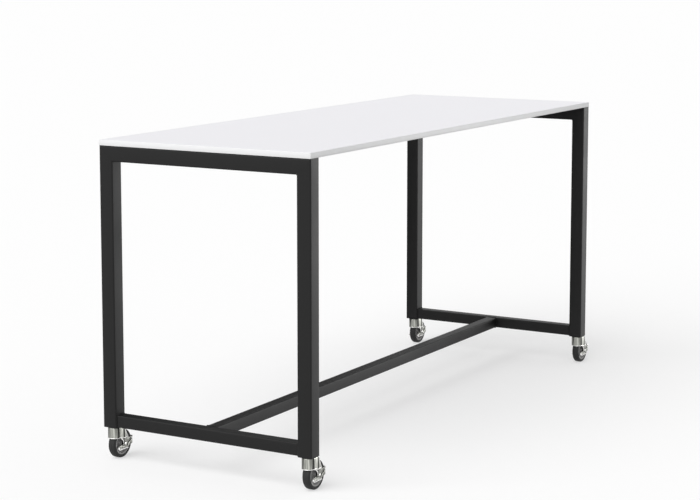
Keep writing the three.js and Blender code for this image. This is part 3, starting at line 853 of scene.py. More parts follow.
def make_bead_tree() -> bpy.types.NodeTree:
    """Makes the tree that lays overlapping weld ripples along the edges of a mesh.

    Returns:
        The tree, with inputs for the ripples' spacing, radius, flatness and seed.
    """
    tree = new_tree(
        "weld_ripples",
        {
            "Spacing": ("NodeSocketFloat", 0.002),
            "Radius": ("NodeSocketFloat", 0.0025),
            "Flatness": ("NodeSocketFloat", 0.55),
            "Seed": ("NodeSocketInt", 7),
            "Material": ("NodeSocketMaterial", None),
        },
    )
    nodes, links = tree.nodes, tree.links
    source = nodes["Group Input"]
    path = nodes.new("GeometryNodeMeshToCurve")
    even = nodes.new("GeometryNodeResampleCurve")
    even.mode = "LENGTH"
    tangent = nodes.new("GeometryNodeInputTangent")
    align = nodes.new("FunctionNodeAlignRotationToVector")
    ball = nodes.new("GeometryNodeMeshUVSphere")
    ball.inputs["Segments"].default_value = 8
    ball.inputs["Rings"].default_value = 5
    flat = nodes.new("ShaderNodeCombineXYZ")
    flat.inputs["X"].default_value = 1.0
    flat.inputs["Y"].default_value = 1.0
    squeeze = nodes.new("GeometryNodeTransform")
    chance = nodes.new("FunctionNodeRandomValue")
    chance.data_type = "FLOAT_VECTOR"
    chance.inputs["Min"].default_value = (0.86,) * 3
    chance.inputs["Max"].default_value = (1.1,) * 3
    ripples = nodes.new("GeometryNodeInstanceOnPoints")
    links.new(source.outputs["Geometry"], path.inputs["Mesh"])
    links.new(path.outputs["Curve"], even.inputs["Curve"])
    links.new(source.outputs["Spacing"], even.inputs["Length"])
    links.new(even.outputs["Curve"], ripples.inputs["Points"])
    links.new(tangent.outputs["Tangent"], align.inputs["Vector"])
    links.new(align.outputs["Rotation"], ripples.inputs["Rotation"])
    links.new(source.outputs["Radius"], ball.inputs["Radius"])
    links.new(source.outputs["Flatness"], flat.inputs["Z"])
    links.new(ball.outputs["Mesh"], squeeze.inputs["Geometry"])
    links.new(flat.outputs["Vector"], squeeze.inputs["Scale"])
    links.new(squeeze.outputs["Geometry"], ripples.inputs["Instance"])
    links.new(source.outputs["Seed"], chance.inputs["Seed"])
    links.new(chance.outputs["Value"], ripples.inputs["Scale"])
    end_tree(tree, ripples.outputs["Instances"])
    return tree


def make_copies_tree(name: str) -> bpy.types.NodeTree:
    """Makes the tree that puts a copy of one object on every point of a mesh.

    Args:
        name: The tree's name.

    Returns:
        The tree, with inputs for the object and its size.
    """
    tree = new_tree(
        name,
        {
            "Shape": ("NodeSocketObject", None),
            "Size": ("NodeSocketFloat", 1.0),
            "Material": ("NodeSocketMaterial", None),
        },
    )
    nodes, links = tree.nodes, tree.links
    source = nodes["Group Input"]
    shape = nodes.new("GeometryNodeObjectInfo")
    copies = nodes.new("GeometryNodeInstanceOnPoints")
    links.new(source.outputs["Shape"], shape.inputs["Object"])
    links.new(source.outputs["Geometry"], copies.inputs["Points"])
    links.new(shape.outputs["Geometry"], copies.inputs["Instance"])
    links.new(source.outputs["Size"], copies.inputs["Scale"])
    end_tree(tree, copies.outputs["Instances"])
    return tree


def point_mesh(points: Iterable[Sequence[float]], name: str) -> bpy.types.Mesh:
    """Makes a mesh of loose points."""
    mesh = bpy.data.meshes.new(name)
    mesh.from_pydata([tuple(p) for p in points], [], [])
    return mesh


def wire_mesh(wires: Iterable[Sequence[Vector]], name: str) -> bpy.types.Mesh:
    """Makes a mesh of wires; one of more than two points is a closed loop.

    Args:
        wires: The wires' points.
        name: The mesh's name.

    Returns:
        The mesh.
    """
    points: list[tuple[float, ...]] = []
    edges: list[tuple[int, int]] = []
    for wire in wires:
        first, count = len(points), len(wire)
        points += [tuple(p) for p in wire]
        edges += [(first + i, first + (i + 1) % count) for i in range(count if count > 2 else 1)]
    mesh = bpy.data.meshes.new(name)
    mesh.from_pydata(points, edges, [])
    return mesh


# The table's sub-assemblies


@dataclass
class Worktop:
    """The laminated board and the edging round it.

    Attributes:
        finishes: All finishes.
        panel_arris: The board's edge rounding, which leaves the fine line beside the edging.
        band_arris: The edging's edge rounding.
    """

    finishes: Finishes
    panel_arris: float = 0.25 * MM
    band_arris: float = 0.9 * MM

    def slab(self, node: str, arris: float, segments: int) -> bpy.types.Mesh:
        """Makes a board or strip in a CAD node's box, with rounded edges.

        Args:
            node: The CAD node.
            arris: The rounding's width.
            segments: The steps in the rounding.

        Returns:
            The mesh.
        """
        low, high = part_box(node)
        outline = [(low.x, low.y), (high.x, low.y), (high.x, high.y), (low.x, high.y)]
        bm = prism(outline, Axis.Z, low.z, high.z)
        round_edges(bm, arris, segments)
        return as_mesh(bm, node)

    def build(self) -> None:
        """Builds the board and its four edge strips."""
        panel = self.slab("top_board", self.panel_arris, 1)
        finish_piece(panel, "worktop_panel", ROOT_BODY, LAMINATE, self.finishes, ["top_board"])
        for side in ("front", "back", "left", "right"):
            node = f"edge_band_{side}"
            band = self.slab(node, self.band_arris, 3)
            finish_piece(band, f"edging_{side}", ROOT_BODY, EDGING, self.finishes, [node])


@dataclass
class SteelFrame:
    """The end frames, the stretcher and the rails under the top, with their welds.

    Attributes:
        finishes: All finishes.
        wall: The tubes' wall.
        post_radius: The corner radius of posts and top rails.
        rail_radius: The corner radius of the other rails.
        bead_radius: The radius of a weld ripple.
        bead_spacing: The distance between weld ripples.
        wires: The paths of the welds noted so far.
    """

    finishes: Finishes
    wall: float = 2 * MM
    post_radius: float = 5 * MM
    rail_radius: float = 4 * MM
    bead_radius: float = 2.6 * MM
    bead_spacing: float = 2.1 * MM
    wires: list[list[Vector]] = field(default_factory=list)

    def tube(
        self, node: str, axis: Axis, radius: float, reach: Callable[[float, Vector], float] | None = None
    ) -> bpy.types.Mesh:
        """Makes a hollow square tube in a CAD node's box.

        Args:
            node: The CAD node.
            axis: The axis the tube runs along.
            radius: The corner radius.
            reach: Gives where an end vertex lies on the axis, from its end's sign and its place on the section.

        Returns:
            The mesh.
        """
        low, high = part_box(node)
        middle = (low + high) / 2
        across = [i for i in range(3) if i != axis.value]
        size = high[across[0]] - low[across[0]]
        inner_radius = max(radius - self.wall, self.wall / 2)
        sections = [rounded_square(size, radius), rounded_square(size - 2 * self.wall, inner_radius)]
        bm = bmesh.new()
        shells = []
        for section in sections:
            ends = []
            for sign in (-1, 1):
                ring = []
                for u, v in section:
                    spot = placed(axis, u, v, 0)
                    for i in across:
                        spot[i] += middle[i]
                    end = low[axis.value] if sign < 0 else high[axis.value]
                    spot[axis.value] = reach(sign, spot) if reach else end
                    ring.append(bm.verts.new(spot))
                ends.append(ring)
            shells.append(ends)
        for ends in shells:
            skin(bm, ends, False)
        for end in (0, 1):
            skin(bm, [shells[0][end], shells[1][end]], False)
        bmesh.ops.recalc_face_normals(bm, faces=bm.faces)
        return as_mesh(bm, node)

    def add_weld(self, axis: Axis, centre: Vector, size: float, radius: float, along: float) -> None:
        """Notes a weld that runs round a tube's end.

        Args:
            axis: The axis the tube runs along.
            centre: The tube's middle.
            size: The tube's outside size.
            radius: The tube's corner radius.
            along: Where the weld is on the axis.
        """
        loop = []
        for u, v in rounded_square(size, radius, 4):
            spot = placed(axis, u, v, 0)
            for i in range(3):
                spot[i] = along if i == axis.value else spot[i] + centre[i]
            loop.append(spot)
        self.wires.append(loop)

    def build_end_frames(self) -> None:
        """Builds the posts and top rails, whose ends meet on a mitre plane."""
        rail_low, rail_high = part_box("top_rail_left")
        top, outer = rail_high.z, rail_high.y
        for corner in Corner:
            node = f"post_{corner.value}"
            low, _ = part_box(node)
            bottom = low.z

            def post_reach(sign: float, spot: Vector, bottom: float = bottom) -> float:
                """Gives a post vertex's height: the foot, or the mitre plane."""
                return bottom if sign < 0 else top - (outer - abs(spot.y))

            mesh = self.tube(node, Axis.Z, self.post_radius, post_reach)
            finish_piece(mesh, f"tube_{node}", ROOT_BODY, POWDER_COAT, self.finishes, [node])
        for end in ("left", "right"):
            node = f"top_rail_{end}"

            def rail_reach(sign: float, spot: Vector) -> float:
                """Gives a top rail vertex's place across the table, on the mitre plane."""
                return sign * (outer - (top - spot.z))

            mesh = self.tube(node, Axis.Y, self.post_radius, rail_reach)
            finish_piece(mesh, f"tube_{node}", ROOT_BODY, POWDER_COAT, self.finishes, [node])
            low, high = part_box(node)
            inset, depth = self.post_radius, high.z - low.z
            for side in (-1, 1):
                ends = (low.x + inset, high.x - inset)
                self.wires.append([Vector((x, side * (outer - depth), low.z)) for x in ends])

    def build_rails(self) -> None:
        """Builds the lower rails, the stretcher and the support rails, and notes their welds."""
        runs = [(f"bottom_rail_{end}", Axis.Y) for end in ("left", "right")]
        runs.append(("lower_stretcher", Axis.X))
        runs += [(f"support_rail_{face}", Axis.X) for face in ("front", "back")]
        for node, axis in runs:
            mesh = self.tube(node, axis, self.rail_radius)
            finish_piece(mesh, f"tube_{node}", ROOT_BODY, POWDER_COAT, self.finishes, [node])
            low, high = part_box(node)
            size = high.z - low.z
            for end in (low, high):
                self.add_weld(axis, (low + high) / 2, size, self.rail_radius, end[axis.value])

    def build_welds(self) -> None:
        """Builds all weld ripples as one piece."""
        values = {
            "Spacing": self.bead_spacing,
            "Radius": self.bead_radius,
            "Material": self.finishes.of(POWDER_COAT),
        }
        beads = run_tree(make_bead_tree(), wire_mesh(self.wires, "weld_paths"), values, "weld_beads")
        finish_piece(beads, "weld_beads", ROOT_BODY, POWDER_COAT, self.finishes)

    def build(self) -> None:
        """Builds the whole steel frame."""
        self.build_end_frames()
        self.build_rails()
        self.build_welds()


@dataclass
class TopFixings:
    """The tabs, the screws that go up through them, and the plugs in the post feet.

    Attributes:
        finishes: All finishes.
        recess_length: The length of each arm of the cross recess in a screw head.
        recess_width: The width of each arm.
        recess_depth: The recess's depth.
        plug_radius: The corner radius of a plug's flange.
        plug_arris: The rounding of its edges.
        plug_bore: The radius of the hole for the stem.
        places: Where the tabs and screws are.
    """

    finishes: Finishes
    recess_length: float = 5.2 * MM
    recess_width: float = 1.1 * MM
    recess_depth: float = 1.6 * MM
    plug_radius: float = 5 * MM
    plug_arris: float = 0.5 * MM
    plug_bore: float = 6.4 * MM
    places: tuple[str, ...] = (
        "left_front", "left_back", "right_front", "right_back", "middle_front", "middle_back",
    )

    def screw_shape(self) -> bpy.types.Mesh:
        """Makes one screw about zero, from the underside of its head up.

        Returns:
            The mesh, with a domed head and a cross recess that opens downwards.
        """
        low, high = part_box("fixing_screw_left_front")
        head = (high.x - low.x) / 2
        height, shank, length = 3.5 * MM, 2.2 * MM, high.z - low.z
        dome = arc(0, height, head, -math.pi / 2, 0, 8)
        dome = [(radius, height + (z - height) * height / head) for radius, z in dome]
        profile = dome + [(shank, height), (shank, length - shank), (0, length)]
        half, width = self.recess_length / 2, self.recess_width / 2
        arms = [
            [(-half, -width), (half, -width), (half, width), (-half, width)],
            [(-width, -half), (width, -half), (width, half), (-width, half)],
        ]
        cuts = [(Cut.TAKE_AWAY, prism(a, Axis.Z, -self.recess_depth, self.recess_depth)) for a in arms]
        return as_mesh(combined(turned(profile, Axis.Z, 24), cuts), "screw_shape")

    def build_screws(self) -> None:
        """Builds all screws as one piece."""
        shape = linked(self.screw_shape(), "screw_shape")
        points, nodes = [], []
        for place in self.places:
            node = f"fixing_screw_{place}"
            low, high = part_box(node)
            points.append(((low.x + high.x) / 2, (low.y + high.y) / 2, low.z))
            nodes.append(node)
        values = {"Shape": shape, "Material": self.finishes.of(SCREW_ZINC)}
        screws = run_tree(make_copies_tree("screw_copies"), point_mesh(points, "screw_points"), values, "screws")
        bpy.data.objects.remove(shape)
        finish_piece(screws, "fixing_screws", ROOT_BODY, SCREW_ZINC, self.finishes, nodes)

    def build_plugs(self) -> None:
        """Builds the visible flange of each post plug, with a soft edge, over its body."""
        for corner in Corner:
            node = f"post_plug_{corner.value}"
            low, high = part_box(node)
            size = high.x - low.x
            outline = rounded_square(size, self.plug_radius)
            bm = prism(outline, Axis.Z, 0, 2 * MM)
            round_edges(bm, self.plug_arris, 2)
            body = prism(rounded_square(size - 4.8 * MM, 3 * MM), Axis.Z, 1 * MM, high.z - low.z)
            bore = round_bar(Axis.Z, self.plug_bore, -MM, 30 * MM)
            plug = combined(bm, [(Cut.ADD, body), (Cut.TAKE_AWAY, bore)])
            bmesh.ops.translate(plug, verts=plug.verts, vec=((low.x + high.x) / 2, (low.y + high.y) / 2, low.z))
            mesh = as_mesh(plug, node)
            finish_piece(mesh, f"foot_plug_{corner.value}", ROOT_BODY, PLUG_PLASTIC, self.finishes, [node])

    def dress_tabs(self) -> None:
        """Gives the tabs, whose CAD shape is right, the frame's finish."""
        for place in self.places:
            dress_node(f"fixing_tab_{place}", POWDER_COAT, self.finishes)

    def build(self) -> None:
        """Builds screws and plugs, and dresses the tabs."""
        self.build_screws()
        self.build_plugs()
        self.dress_tabs()


def dress_node(node: str, finish: GrainedFinish | PlatedFinish, finishes: Finishes) -> None:
    """Gives a CAD node that stays in view its finish.

    Args:
        node: The CAD node.
        finish: Its finish.
        finishes: All finishes.
    """
    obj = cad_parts[node]
    obj.data.materials.clear()
    obj.data.materials.append(finishes.of(finish))
    LOG.info("%s: CAD shape kept", node)


@dataclass
class Castor:
    """One braked castor's shapes, made about the stem axis on the floor and copied to each foot.

    Attributes:
        finishes: All finishes.
        trail: How far the axle is behind the stem.
        wheel_radius: The tyre's radius, and so the axle's height.
        tyre_half: Half the tyre's width.
        hood_top: The height of the hood's top.
        skirt: The height of the hood's lower edge.
        inner: Half the fork's inside width.
        sheet: The fork's sheet thickness.
        shoulder: The rounding of the pressed hood's top edge.
        eye: The radius of the leg's end round the axle.
        knee: Where the leg's front edge bends, in millimetres behind the axle and above it.
        leg_root: Where that edge starts under the hood, likewise.
        cheek_foot: The lowest rear corner of the cheek, likewise.
        pin_bore: The radius of the axle's holes.
        stem_bore: The radius of the holes for the stem.
        race_radius: The swivel race's outside radius.
        rim: The radius of the rolled rim round the hood's lower edge.
        lever_inner: Half the lever's inside width.
        lever_sheet: The lever's sheet thickness.
        strap: How far behind the axle the inside of the lever's strap is.
        strap_corner: The outside radius of the strap's rear corners.
        arris: The rounding of pressed and cut edges.
    """

    finishes: Finishes
    trail: float = 27.487 * MM
    wheel_radius: float = 47 * MM
    tyre_half: float = 13 * MM
    hood_top: float = 106.5 * MM
    skirt: float = 70 * MM
    inner: float = 18.5 * MM
    sheet: float = 2.5 * MM
    shoulder: float = 3.5 * MM
    eye: float = 7 * MM
    knee: Point2 = (-9.5, 10)
    leg_root: Point2 = (-25, 23)
    cheek_foot: Point2 = (15, 18)
    pin_bore: float = 4.15 * MM
    stem_bore: float = 6.4 * MM
    race_radius: float = 17 * MM
    rim: float = 1.1 * MM
    lever_inner: float = 14 * MM
    lever_sheet: float = 2 * MM
    strap: float = 49.5 * MM
    strap_corner: float = 9 * MM
    arris: float = 0.45 * MM

    def at(self, behind: float, rise: float) -> Point2:
        """Gives a place in the side view from millimetres behind the axle and above it."""
        return self.trail + behind * MM, self.wheel_radius + rise * MM

    def hood_outline(self, radius: float, rear: float) -> Profile:
        """Gives the hood's plan outline: a half round front and straight cheeks."""
        return [(rear, radius)] + arc(0, 0, radius, math.pi / 2, 3 * math.pi / 2, 40) + [(rear, -radius)]

    def tangent(self, point: Point2, side: int) -> float:
        """Gives the angle at which a line from a point touches the axle eye.

        Args:
            point: The point, in the side view.
            side: Which of the two lines.

        Returns:
            The angle about the axle, in radians.
        """
        away = Vector(point) - Vector(self.at(0, 0))
        return math.atan2(away.y, away.x) + side * math.acos(self.eye / away.length)

    def side_outline(self) -> Profile:
        """Gives the fork's side outline: skirt, legs, axle eyes and a leaning rear edge with round corners."""
        front = -self.inner - self.sheet - 5 * MM
        knee, foot, hood = self.at(*self.knee), self.at(*self.cheek_foot), (front, self.hood_top)
        top = (self.trail - 1.5 * MM, self.hood_top)
        start = self.tangent(knee, 1)
        sweep = (self.tangent(foot, -1) - start) % (2 * math.pi)
        eye = arc(*self.at(0, 0), self.eye, start, start + sweep, 12)
        lower, upper = round_corner(eye[-1], foot, top, 4 * MM, 6), round_corner(foot, top, hood, 14 * MM, 10)
        return [(front, self.skirt), self.at(*self.leg_root), knee, *eye, *lower, *upper, hood]

    def window_outline(self) -> Profile:
        """Gives the three-sided window behind the front strut of each leg."""
        knee = Vector(self.at(*self.knee))
        along = (knee - Vector(self.at(*self.leg_root))).normalized()
        lower = knee + along.orthogonal() * 4.5 * MM
        upper = lower - along * 8.5 * MM
        return [tuple(lower), (upper.x + 9 * MM, upper.y), tuple(upper)]

    def fork(self) -> bpy.types.Mesh:
        """Makes the fork: a pressed hood with a soft shoulder, two legs with windows, and their holes."""
        outer, far = self.inner + self.sheet, self.trail + 20 * MM
        shell = prism(self.hood_outline(outer, far), Axis.Z, 30 * MM, self.hood_top)
        top_rim = [e for e in shell.edges if all(abs(v.co.z - self.hood_top) < MERGE_GAP for v in e.verts)]
        bmesh.ops.bevel(
            shell, geom=top_rim, offset=self.shoulder, segments=6, profile=0.5, affect="EDGES", clamp_overlap=True
        )
        room = prism(self.hood_outline(self.inner, far + 5 * MM), Axis.Z, 20 * MM, self.hood_top - self.sheet)
        room_rim = [e for e in room.edges if all(v.co.z > self.hood_top - self.sheet - MERGE_GAP for v in e.verts)]
        bmesh.ops.bevel(
            room, geom=room_rim, offset=self.shoulder - self.sheet + MM, segments=4, profile=0.5,
            affect="EDGES", clamp_overlap=True,
        )
        stem = round_bar(Axis.Z, self.stem_bore, 80 * MM, 120 * MM)
        pin = self.pin_hole()
        bmesh.ops.translate(pin, verts=pin.verts, vec=(self.trail, 0, self.wheel_radius))
        work = [
            (Cut.TAKE_AWAY, room),
            (Cut.KEEP_COMMON, prism(self.side_outline(), Axis.Y, -30 * MM, 30 * MM)),
            (Cut.TAKE_AWAY, stem),
            (Cut.TAKE_AWAY, pin),
            (Cut.TAKE_AWAY, prism(self.window_outline(), Axis.Y, -30 * MM, 30 * MM)),
        ]
        bm = combined(shell, work)
        # The fork's narrow cut edges and rounded edges take a painted highlight.
        highlight_cut_edges(bm, self.sheet)
        round_edges(bm, self.arris, 2, SHARP_LIMIT)
        return as_mesh(bm, "fork")

    def pin_hole(self) -> bmesh.types.BMesh:
        """Makes the cutter for the axle's hole, about zero."""
        return round_bar(Axis.Y, self.pin_bore, -30 * MM, 30 * MM)

    def rim_paths(self) -> list[list[tuple[Vector, Vector]]]:
        """Gives the rolled rim's paths: round the hood and up its cheeks' rear edges, and down each leg's front.

        Returns:
            Each path's points, with the direction that faces out of the hood there.
        """
        reach, level = self.inner + self.sheet - 0.4 * MM, self.skirt + self.rim
        drop, foot, top = self.at(-12.5, 20.3), self.at(12.96, 19.6), self.at(1.68, 48)
        cheek = [self.at(-19, 24.1), drop, *round_corner(drop, foot, top, 3 * MM, 6), top]
        strut = [self.at(-22.5, 23), self.at(-8.8, 11.4), self.at(-5.8, 4.5)]

        def beside(places: Profile, y: int) -> list[tuple[Vector, Vector]]:
            """Puts a side view's places on one cheek."""
            return [(Vector((x, y * reach, z)), Vector((0, y, 0))) for x, z in places]

        front = []
        for x, y in arc(0, 0, 1, math.pi / 2, 3 * math.pi / 2, 40):
            front.append((Vector((x * reach, y * reach, level)), Vector((x, y, 0))))
        return [beside(cheek, 1)[::-1] + front + beside(cheek, -1), beside(strut, 1), beside(strut, -1)]

    def skirt_rim(self) -> bpy.types.Mesh:
        """Makes the rolled rim round the hood's lower edge, up the rear of its cheeks and down the legs."""
        bm = bmesh.new()
        for path in self.rim_paths():
            rings = []
            for i, (place, out) in enumerate(path):
                run = (path[min(i + 1, len(path) - 1)][0] - path[max(i - 1, 0)][0]).normalized()
                up = run.cross(out)
                ring = arc(0, 0, self.rim, 0, 2 * math.pi * 11 / 12, 11)
                rings.append([bm.verts.new(place + out * u + up * v) for u, v in ring])
            skin(bm, rings, False)
            bm.faces.new(rings[0])
            bm.faces.new(rings[-1])
        bmesh.ops.recalc_face_normals(bm, faces=bm.faces)
        # Every face of the rolled rim takes a painted highlight.
        painted_light_and_shade = painted_light_and_shade_layer(bm)
        for face in bm.faces:
            face[painted_light_and_shade] = 1.0
        return as_mesh(bm, "skirt_rim")

    def race(self) -> bpy.types.Mesh:
        """Makes the swivel race, a thin ring between hood and plug."""
        low, high, edge = 107 * MM, 108 * MM, 0.25 * MM
        inner, outer = self.stem_bore, self.race_radius
        profile = [(inner, low), (outer - edge, low), (outer, low + edge), (outer, high - edge)]
        profile += [(outer - edge, high), (inner, high)]
        return as_mesh(turned(profile, Axis.Z, 64), "race")

    def axle(self) -> bpy.types.Mesh:
        """Makes the riveted axle, with a domed head outside each leg and a painted highlight in the middle of each
        head.
        """
        seat, head, depth, pin = 21.15 * MM, 6.5 * MM, 2.5 * MM, 4 * MM
        dome = [(head * math.cos(a), seat + depth * math.sin(a)) for a in [math.pi / 2 * i / 8 for i in range(9)]]
        half = [(pin, 0.0), (pin, seat), *dome]
        profile = [(radius, -height) for radius, height in reversed(half[1:])] + half[1:]
        bm = turned(profile, Axis.Y, 40)
        # The middle faces of each head take a painted highlight, a bright dot.
        painted_light_and_shade = painted_light_and_shade_layer(bm)
        for face in bm.faces:
            middle = face.calc_center_median()
            face[painted_light_and_shade] = 1.0 if math.hypot(middle.x, middle.z) < 3.5 * MM else 0.0
        return self.on_axle(bm, "axle")

    def on_axle(self, bm: bmesh.types.BMesh, name: str) -> bpy.types.Mesh:
        """Moves a shape made about zero to the axle."""
        bmesh.ops.translate(bm, verts=bm.verts, vec=(self.trail, 0, self.wheel_radius))
        return as_mesh(bm, name)

    def tyre(self) -> bpy.types.Mesh:
        """Makes the tyre: rounded shoulders, a crowned tread and a fine mould line."""
        radius, half, shoulder = self.wheel_radius, self.tyre_half, 6 * MM
        tread, line = radius - 0.15 * MM, 0.5 * MM
        right = arc(tread - shoulder, half - shoulder, shoulder, 0, math.pi / 2, 8)
        lip = [(37.6 * MM, half), (37 * MM, half - 0.8 * MM)]
        crown = [(radius, 0.0), (radius, line), (tread, line + 0.25 * MM)]
        upper = crown + right + lip
        lower = [(r, -h) for r, h in reversed(upper[1:])]
        profile = lower + upper
        return self.on_axle(turned(profile, Axis.Y, 96), "tyre")

    def wheel_centre(self) -> bpy.types.Mesh:
        """Makes the wheel centre: rim lip with a painted highlight, dished web, ring groove and hub."""
        hub, web, rim = 13.6 * MM, 5 * MM, 12 * MM
        half = [
            (4.1 * MM, hub), (8.6 * MM, hub), (9 * MM, hub - 0.4 * MM), (9.6 * MM, web + 3 * MM), (12 * MM, web),
            (18 * MM, web - 0.6 * MM), (27 * MM, web), (31.2 * MM, rim - 2.5 * MM), (32.4 * MM, rim - 0.4 * MM),
            (32.9 * MM, rim), (36.2 * MM, rim), (36.65 * MM, rim - 0.5 * MM),
        ]
        profile = [(r, -h) for r, h in half] + list(reversed(half))
        bm = turned(profile, Axis.Y, 72)
        # The faces of the rim lip take a painted highlight, a lighter ring.
        painted_light_and_shade = painted_light_and_shade_layer(bm)
        for face in bm.faces:
            middle = face.calc_center_median()
            if math.hypot(middle.x, middle.z) > 32 * MM:
                face[painted_light_and_shade] = 1.0
        return self.on_axle(bm, "wheel_centre")

    def strap_outline(self, front: float, half: float, rear: float, corner: float) -> Profile:
        """Gives the plan outline of the lever's strap: straight sides and a rear with round corners.

        Args:
            front: Where the sides start.
            half: Half the width.
            rear: How far behind the axle the rear is.
            corner: The corners' radius.

        Returns:
            The outline, about the axle.
        """
        right = arc(rear - corner, corner - half, corner, -math.pi / 2, 0, 12)
        left = arc(rear - corner, half - corner, corner, 0, math.pi / 2, 12)
        return [(front, -half), *right, *left, (front, half)]

    def lever(self) -> bpy.types.Mesh:
        """Makes the brake lever: a strap round the tyre cut to two treads, with a flanged foot and a lip."""
        outer, rear = self.lever_inner + self.lever_sheet, self.strap + self.lever_sheet
        throat = arc(-20, 7, 13, 0, -math.pi / 2, 10)
        side = [(-7, 14), *throat, (-33, -8), (-33, -13), (-29, -17), (15, -17), (33, -11.5), (56.5, -6), (56.5, 14)]
        slot = strip([(16, -12.5), (24, -1.5), (40, 6), (56.5, 6)], 4.5)
        foot = strip([(-32, -8), (-32, -12.586), (-28.586, -16), (15, -16)], 2)
        side, slot, foot = ([(x * MM, z * MM) for x, z in outline] for outline in (side, slot, foot))
        band = self.strap_outline(-38 * MM, outer, rear, self.strap_corner)
        room = self.strap_outline(-43 * MM, self.lever_inner, self.strap, self.strap_corner - self.lever_sheet)
        lip = self.strap_outline(40 * MM, outer, rear + 3 * MM, self.strap_corner)
        work = [
            (Cut.KEEP_COMMON, prism(side, Axis.Y, -30 * MM, 30 * MM)),
            (Cut.TAKE_AWAY, prism(slot, Axis.Y, -30 * MM, 30 * MM)),
            (Cut.ADD, prism(foot, Axis.Y, -outer - 6 * MM, outer + 6 * MM)),
            (Cut.ADD, prism(lip, Axis.Z, 12 * MM, 14 * MM)),
            (Cut.TAKE_AWAY, prism(room, Axis.Z, -60 * MM, 60 * MM)),
            (Cut.TAKE_AWAY, self.pin_hole()),
        ]
        bm = combined(prism(band, Axis.Z, -40 * MM, 40 * MM), work)
        round_edges(bm, self.arris, 2, SHARP_LIMIT)
        # Faces outside the lever's sides and faces above 13 mm take a painted highlight; walls inside the throat and
        # the slot take painted shade, mixed towards black.
        painted_light_and_shade = painted_light_and_shade_layer(bm)
        for face in bm.faces:
            middle = face.calc_center_median()
            painted_highlight = abs(middle.y) > outer + 0.1 * MM or middle.z > 13 * MM
            shaded_cut_wall = abs(face.normal.y) < 0.9 and middle.z > -14 * MM and abs(middle.x) < 40 * MM
            face[painted_light_and_shade] = 1.0 if painted_highlight else -0.9 if shaded_cut_wall else 0.0
        return self.on_axle(bm, "lever")

    def pedal_ribs(self) -> bpy.types.Mesh:
        """Makes the grip ribs across the lever's upper tread."""
        shape = linked(as_mesh(turned(arc(0, 0, 0.5 * MM, -math.pi / 2, math.pi / 2, 6), Axis.Z, 10), "rib"), "rib")
        shape.data.transform(Matrix.Diagonal((1, 18, 1, 1)))
        points = [(self.at(behind, 0)[0], 0, self.at(0, 13.9)[1]) for behind in (50.6, 52.2, 53.8)]
        values = {"Shape": shape, "Material": self.finishes.of(SHADED_LEVER_ZINC)}
        ribs = run_tree(make_copies_tree("rib_copies"), point_mesh(points, "rib_points"), values, "pedal_ribs")
        bpy.data.objects.remove(shape)
        return ribs

    def build(self) -> None:
        """Builds every shape once, and puts a copy on each foot's bodies."""
        shapes = [
            ("race", self.race(), ROOT_BODY, ZINC, "castor_race"),
            ("fork", self.fork(), "castor", ZINC, "castor_fork"),
            ("skirt_rim", self.skirt_rim(), "castor", ZINC, None),
            ("axle", self.axle(), "castor", ZINC, "castor_axle"),
            ("tyre", self.tyre(), "wheel", TYRE_RUBBER, "castor_tyre"),
            ("wheel_centre", self.wheel_centre(), "wheel", WHEEL_PLASTIC, "wheel_centre"),
            ("lever", self.lever(), "brake", SHADED_LEVER_ZINC, "brake_lever"),
            ("pedal_ribs", self.pedal_ribs(), "brake", SHADED_LEVER_ZINC, None),
        ]
        for _, mesh, *_ in shapes:
            own = mesh.attributes.new(OWN_PLACE, "FLOAT_VECTOR", "POINT")
            own.data.foreach_set("vector", [value for vertex in mesh.vertices for value in vertex.co])
        for corner in Corner:
            low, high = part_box(f"castor_stem_{corner.value}")
            place = Matrix.Translation(((low.x + high.x) / 2, (low.y + high.y) / 2, 0))
            for name, mesh, body, finish, node in shapes:
                copy = mesh.copy()
                copy.transform(place)
                carrier = body if body == ROOT_BODY else f"{body}_{corner.value}"
                nodes = [f"{node}_{corner.value}"] if node else []
                finish_piece(copy, f"{name}_{corner.value}_shape", carrier, finish, self.finishes, nodes)
            dress_node(f"castor_stem_{corner.value}", ZINC, self.finishes)


def seen_directly(tree: bpy.types.NodeTree) -> bpy.types.NodeSocket:
    """Adds nodes that tell whether a ray comes from the camera, a reflection or through glass.

    Args:
        tree: The tree of a world or a floor material.

    Returns:
        The output that is 1 for those rays and 0 for the others.
    """
    path = tree.nodes.new("ShaderNodeLightPath")
    found = path.outputs["Is Camera Ray"]
    for name in ("Is Glossy Ray", "Is Transmission Ray"):
        either = tree.nodes.new("ShaderNodeMath")
        either.operation = "MAXIMUM"
        tree.links.new(found, either.inputs[0])
        tree.links.new(path.outputs[name], either.inputs[1])
        found = either.outputs["Value"]
    return found


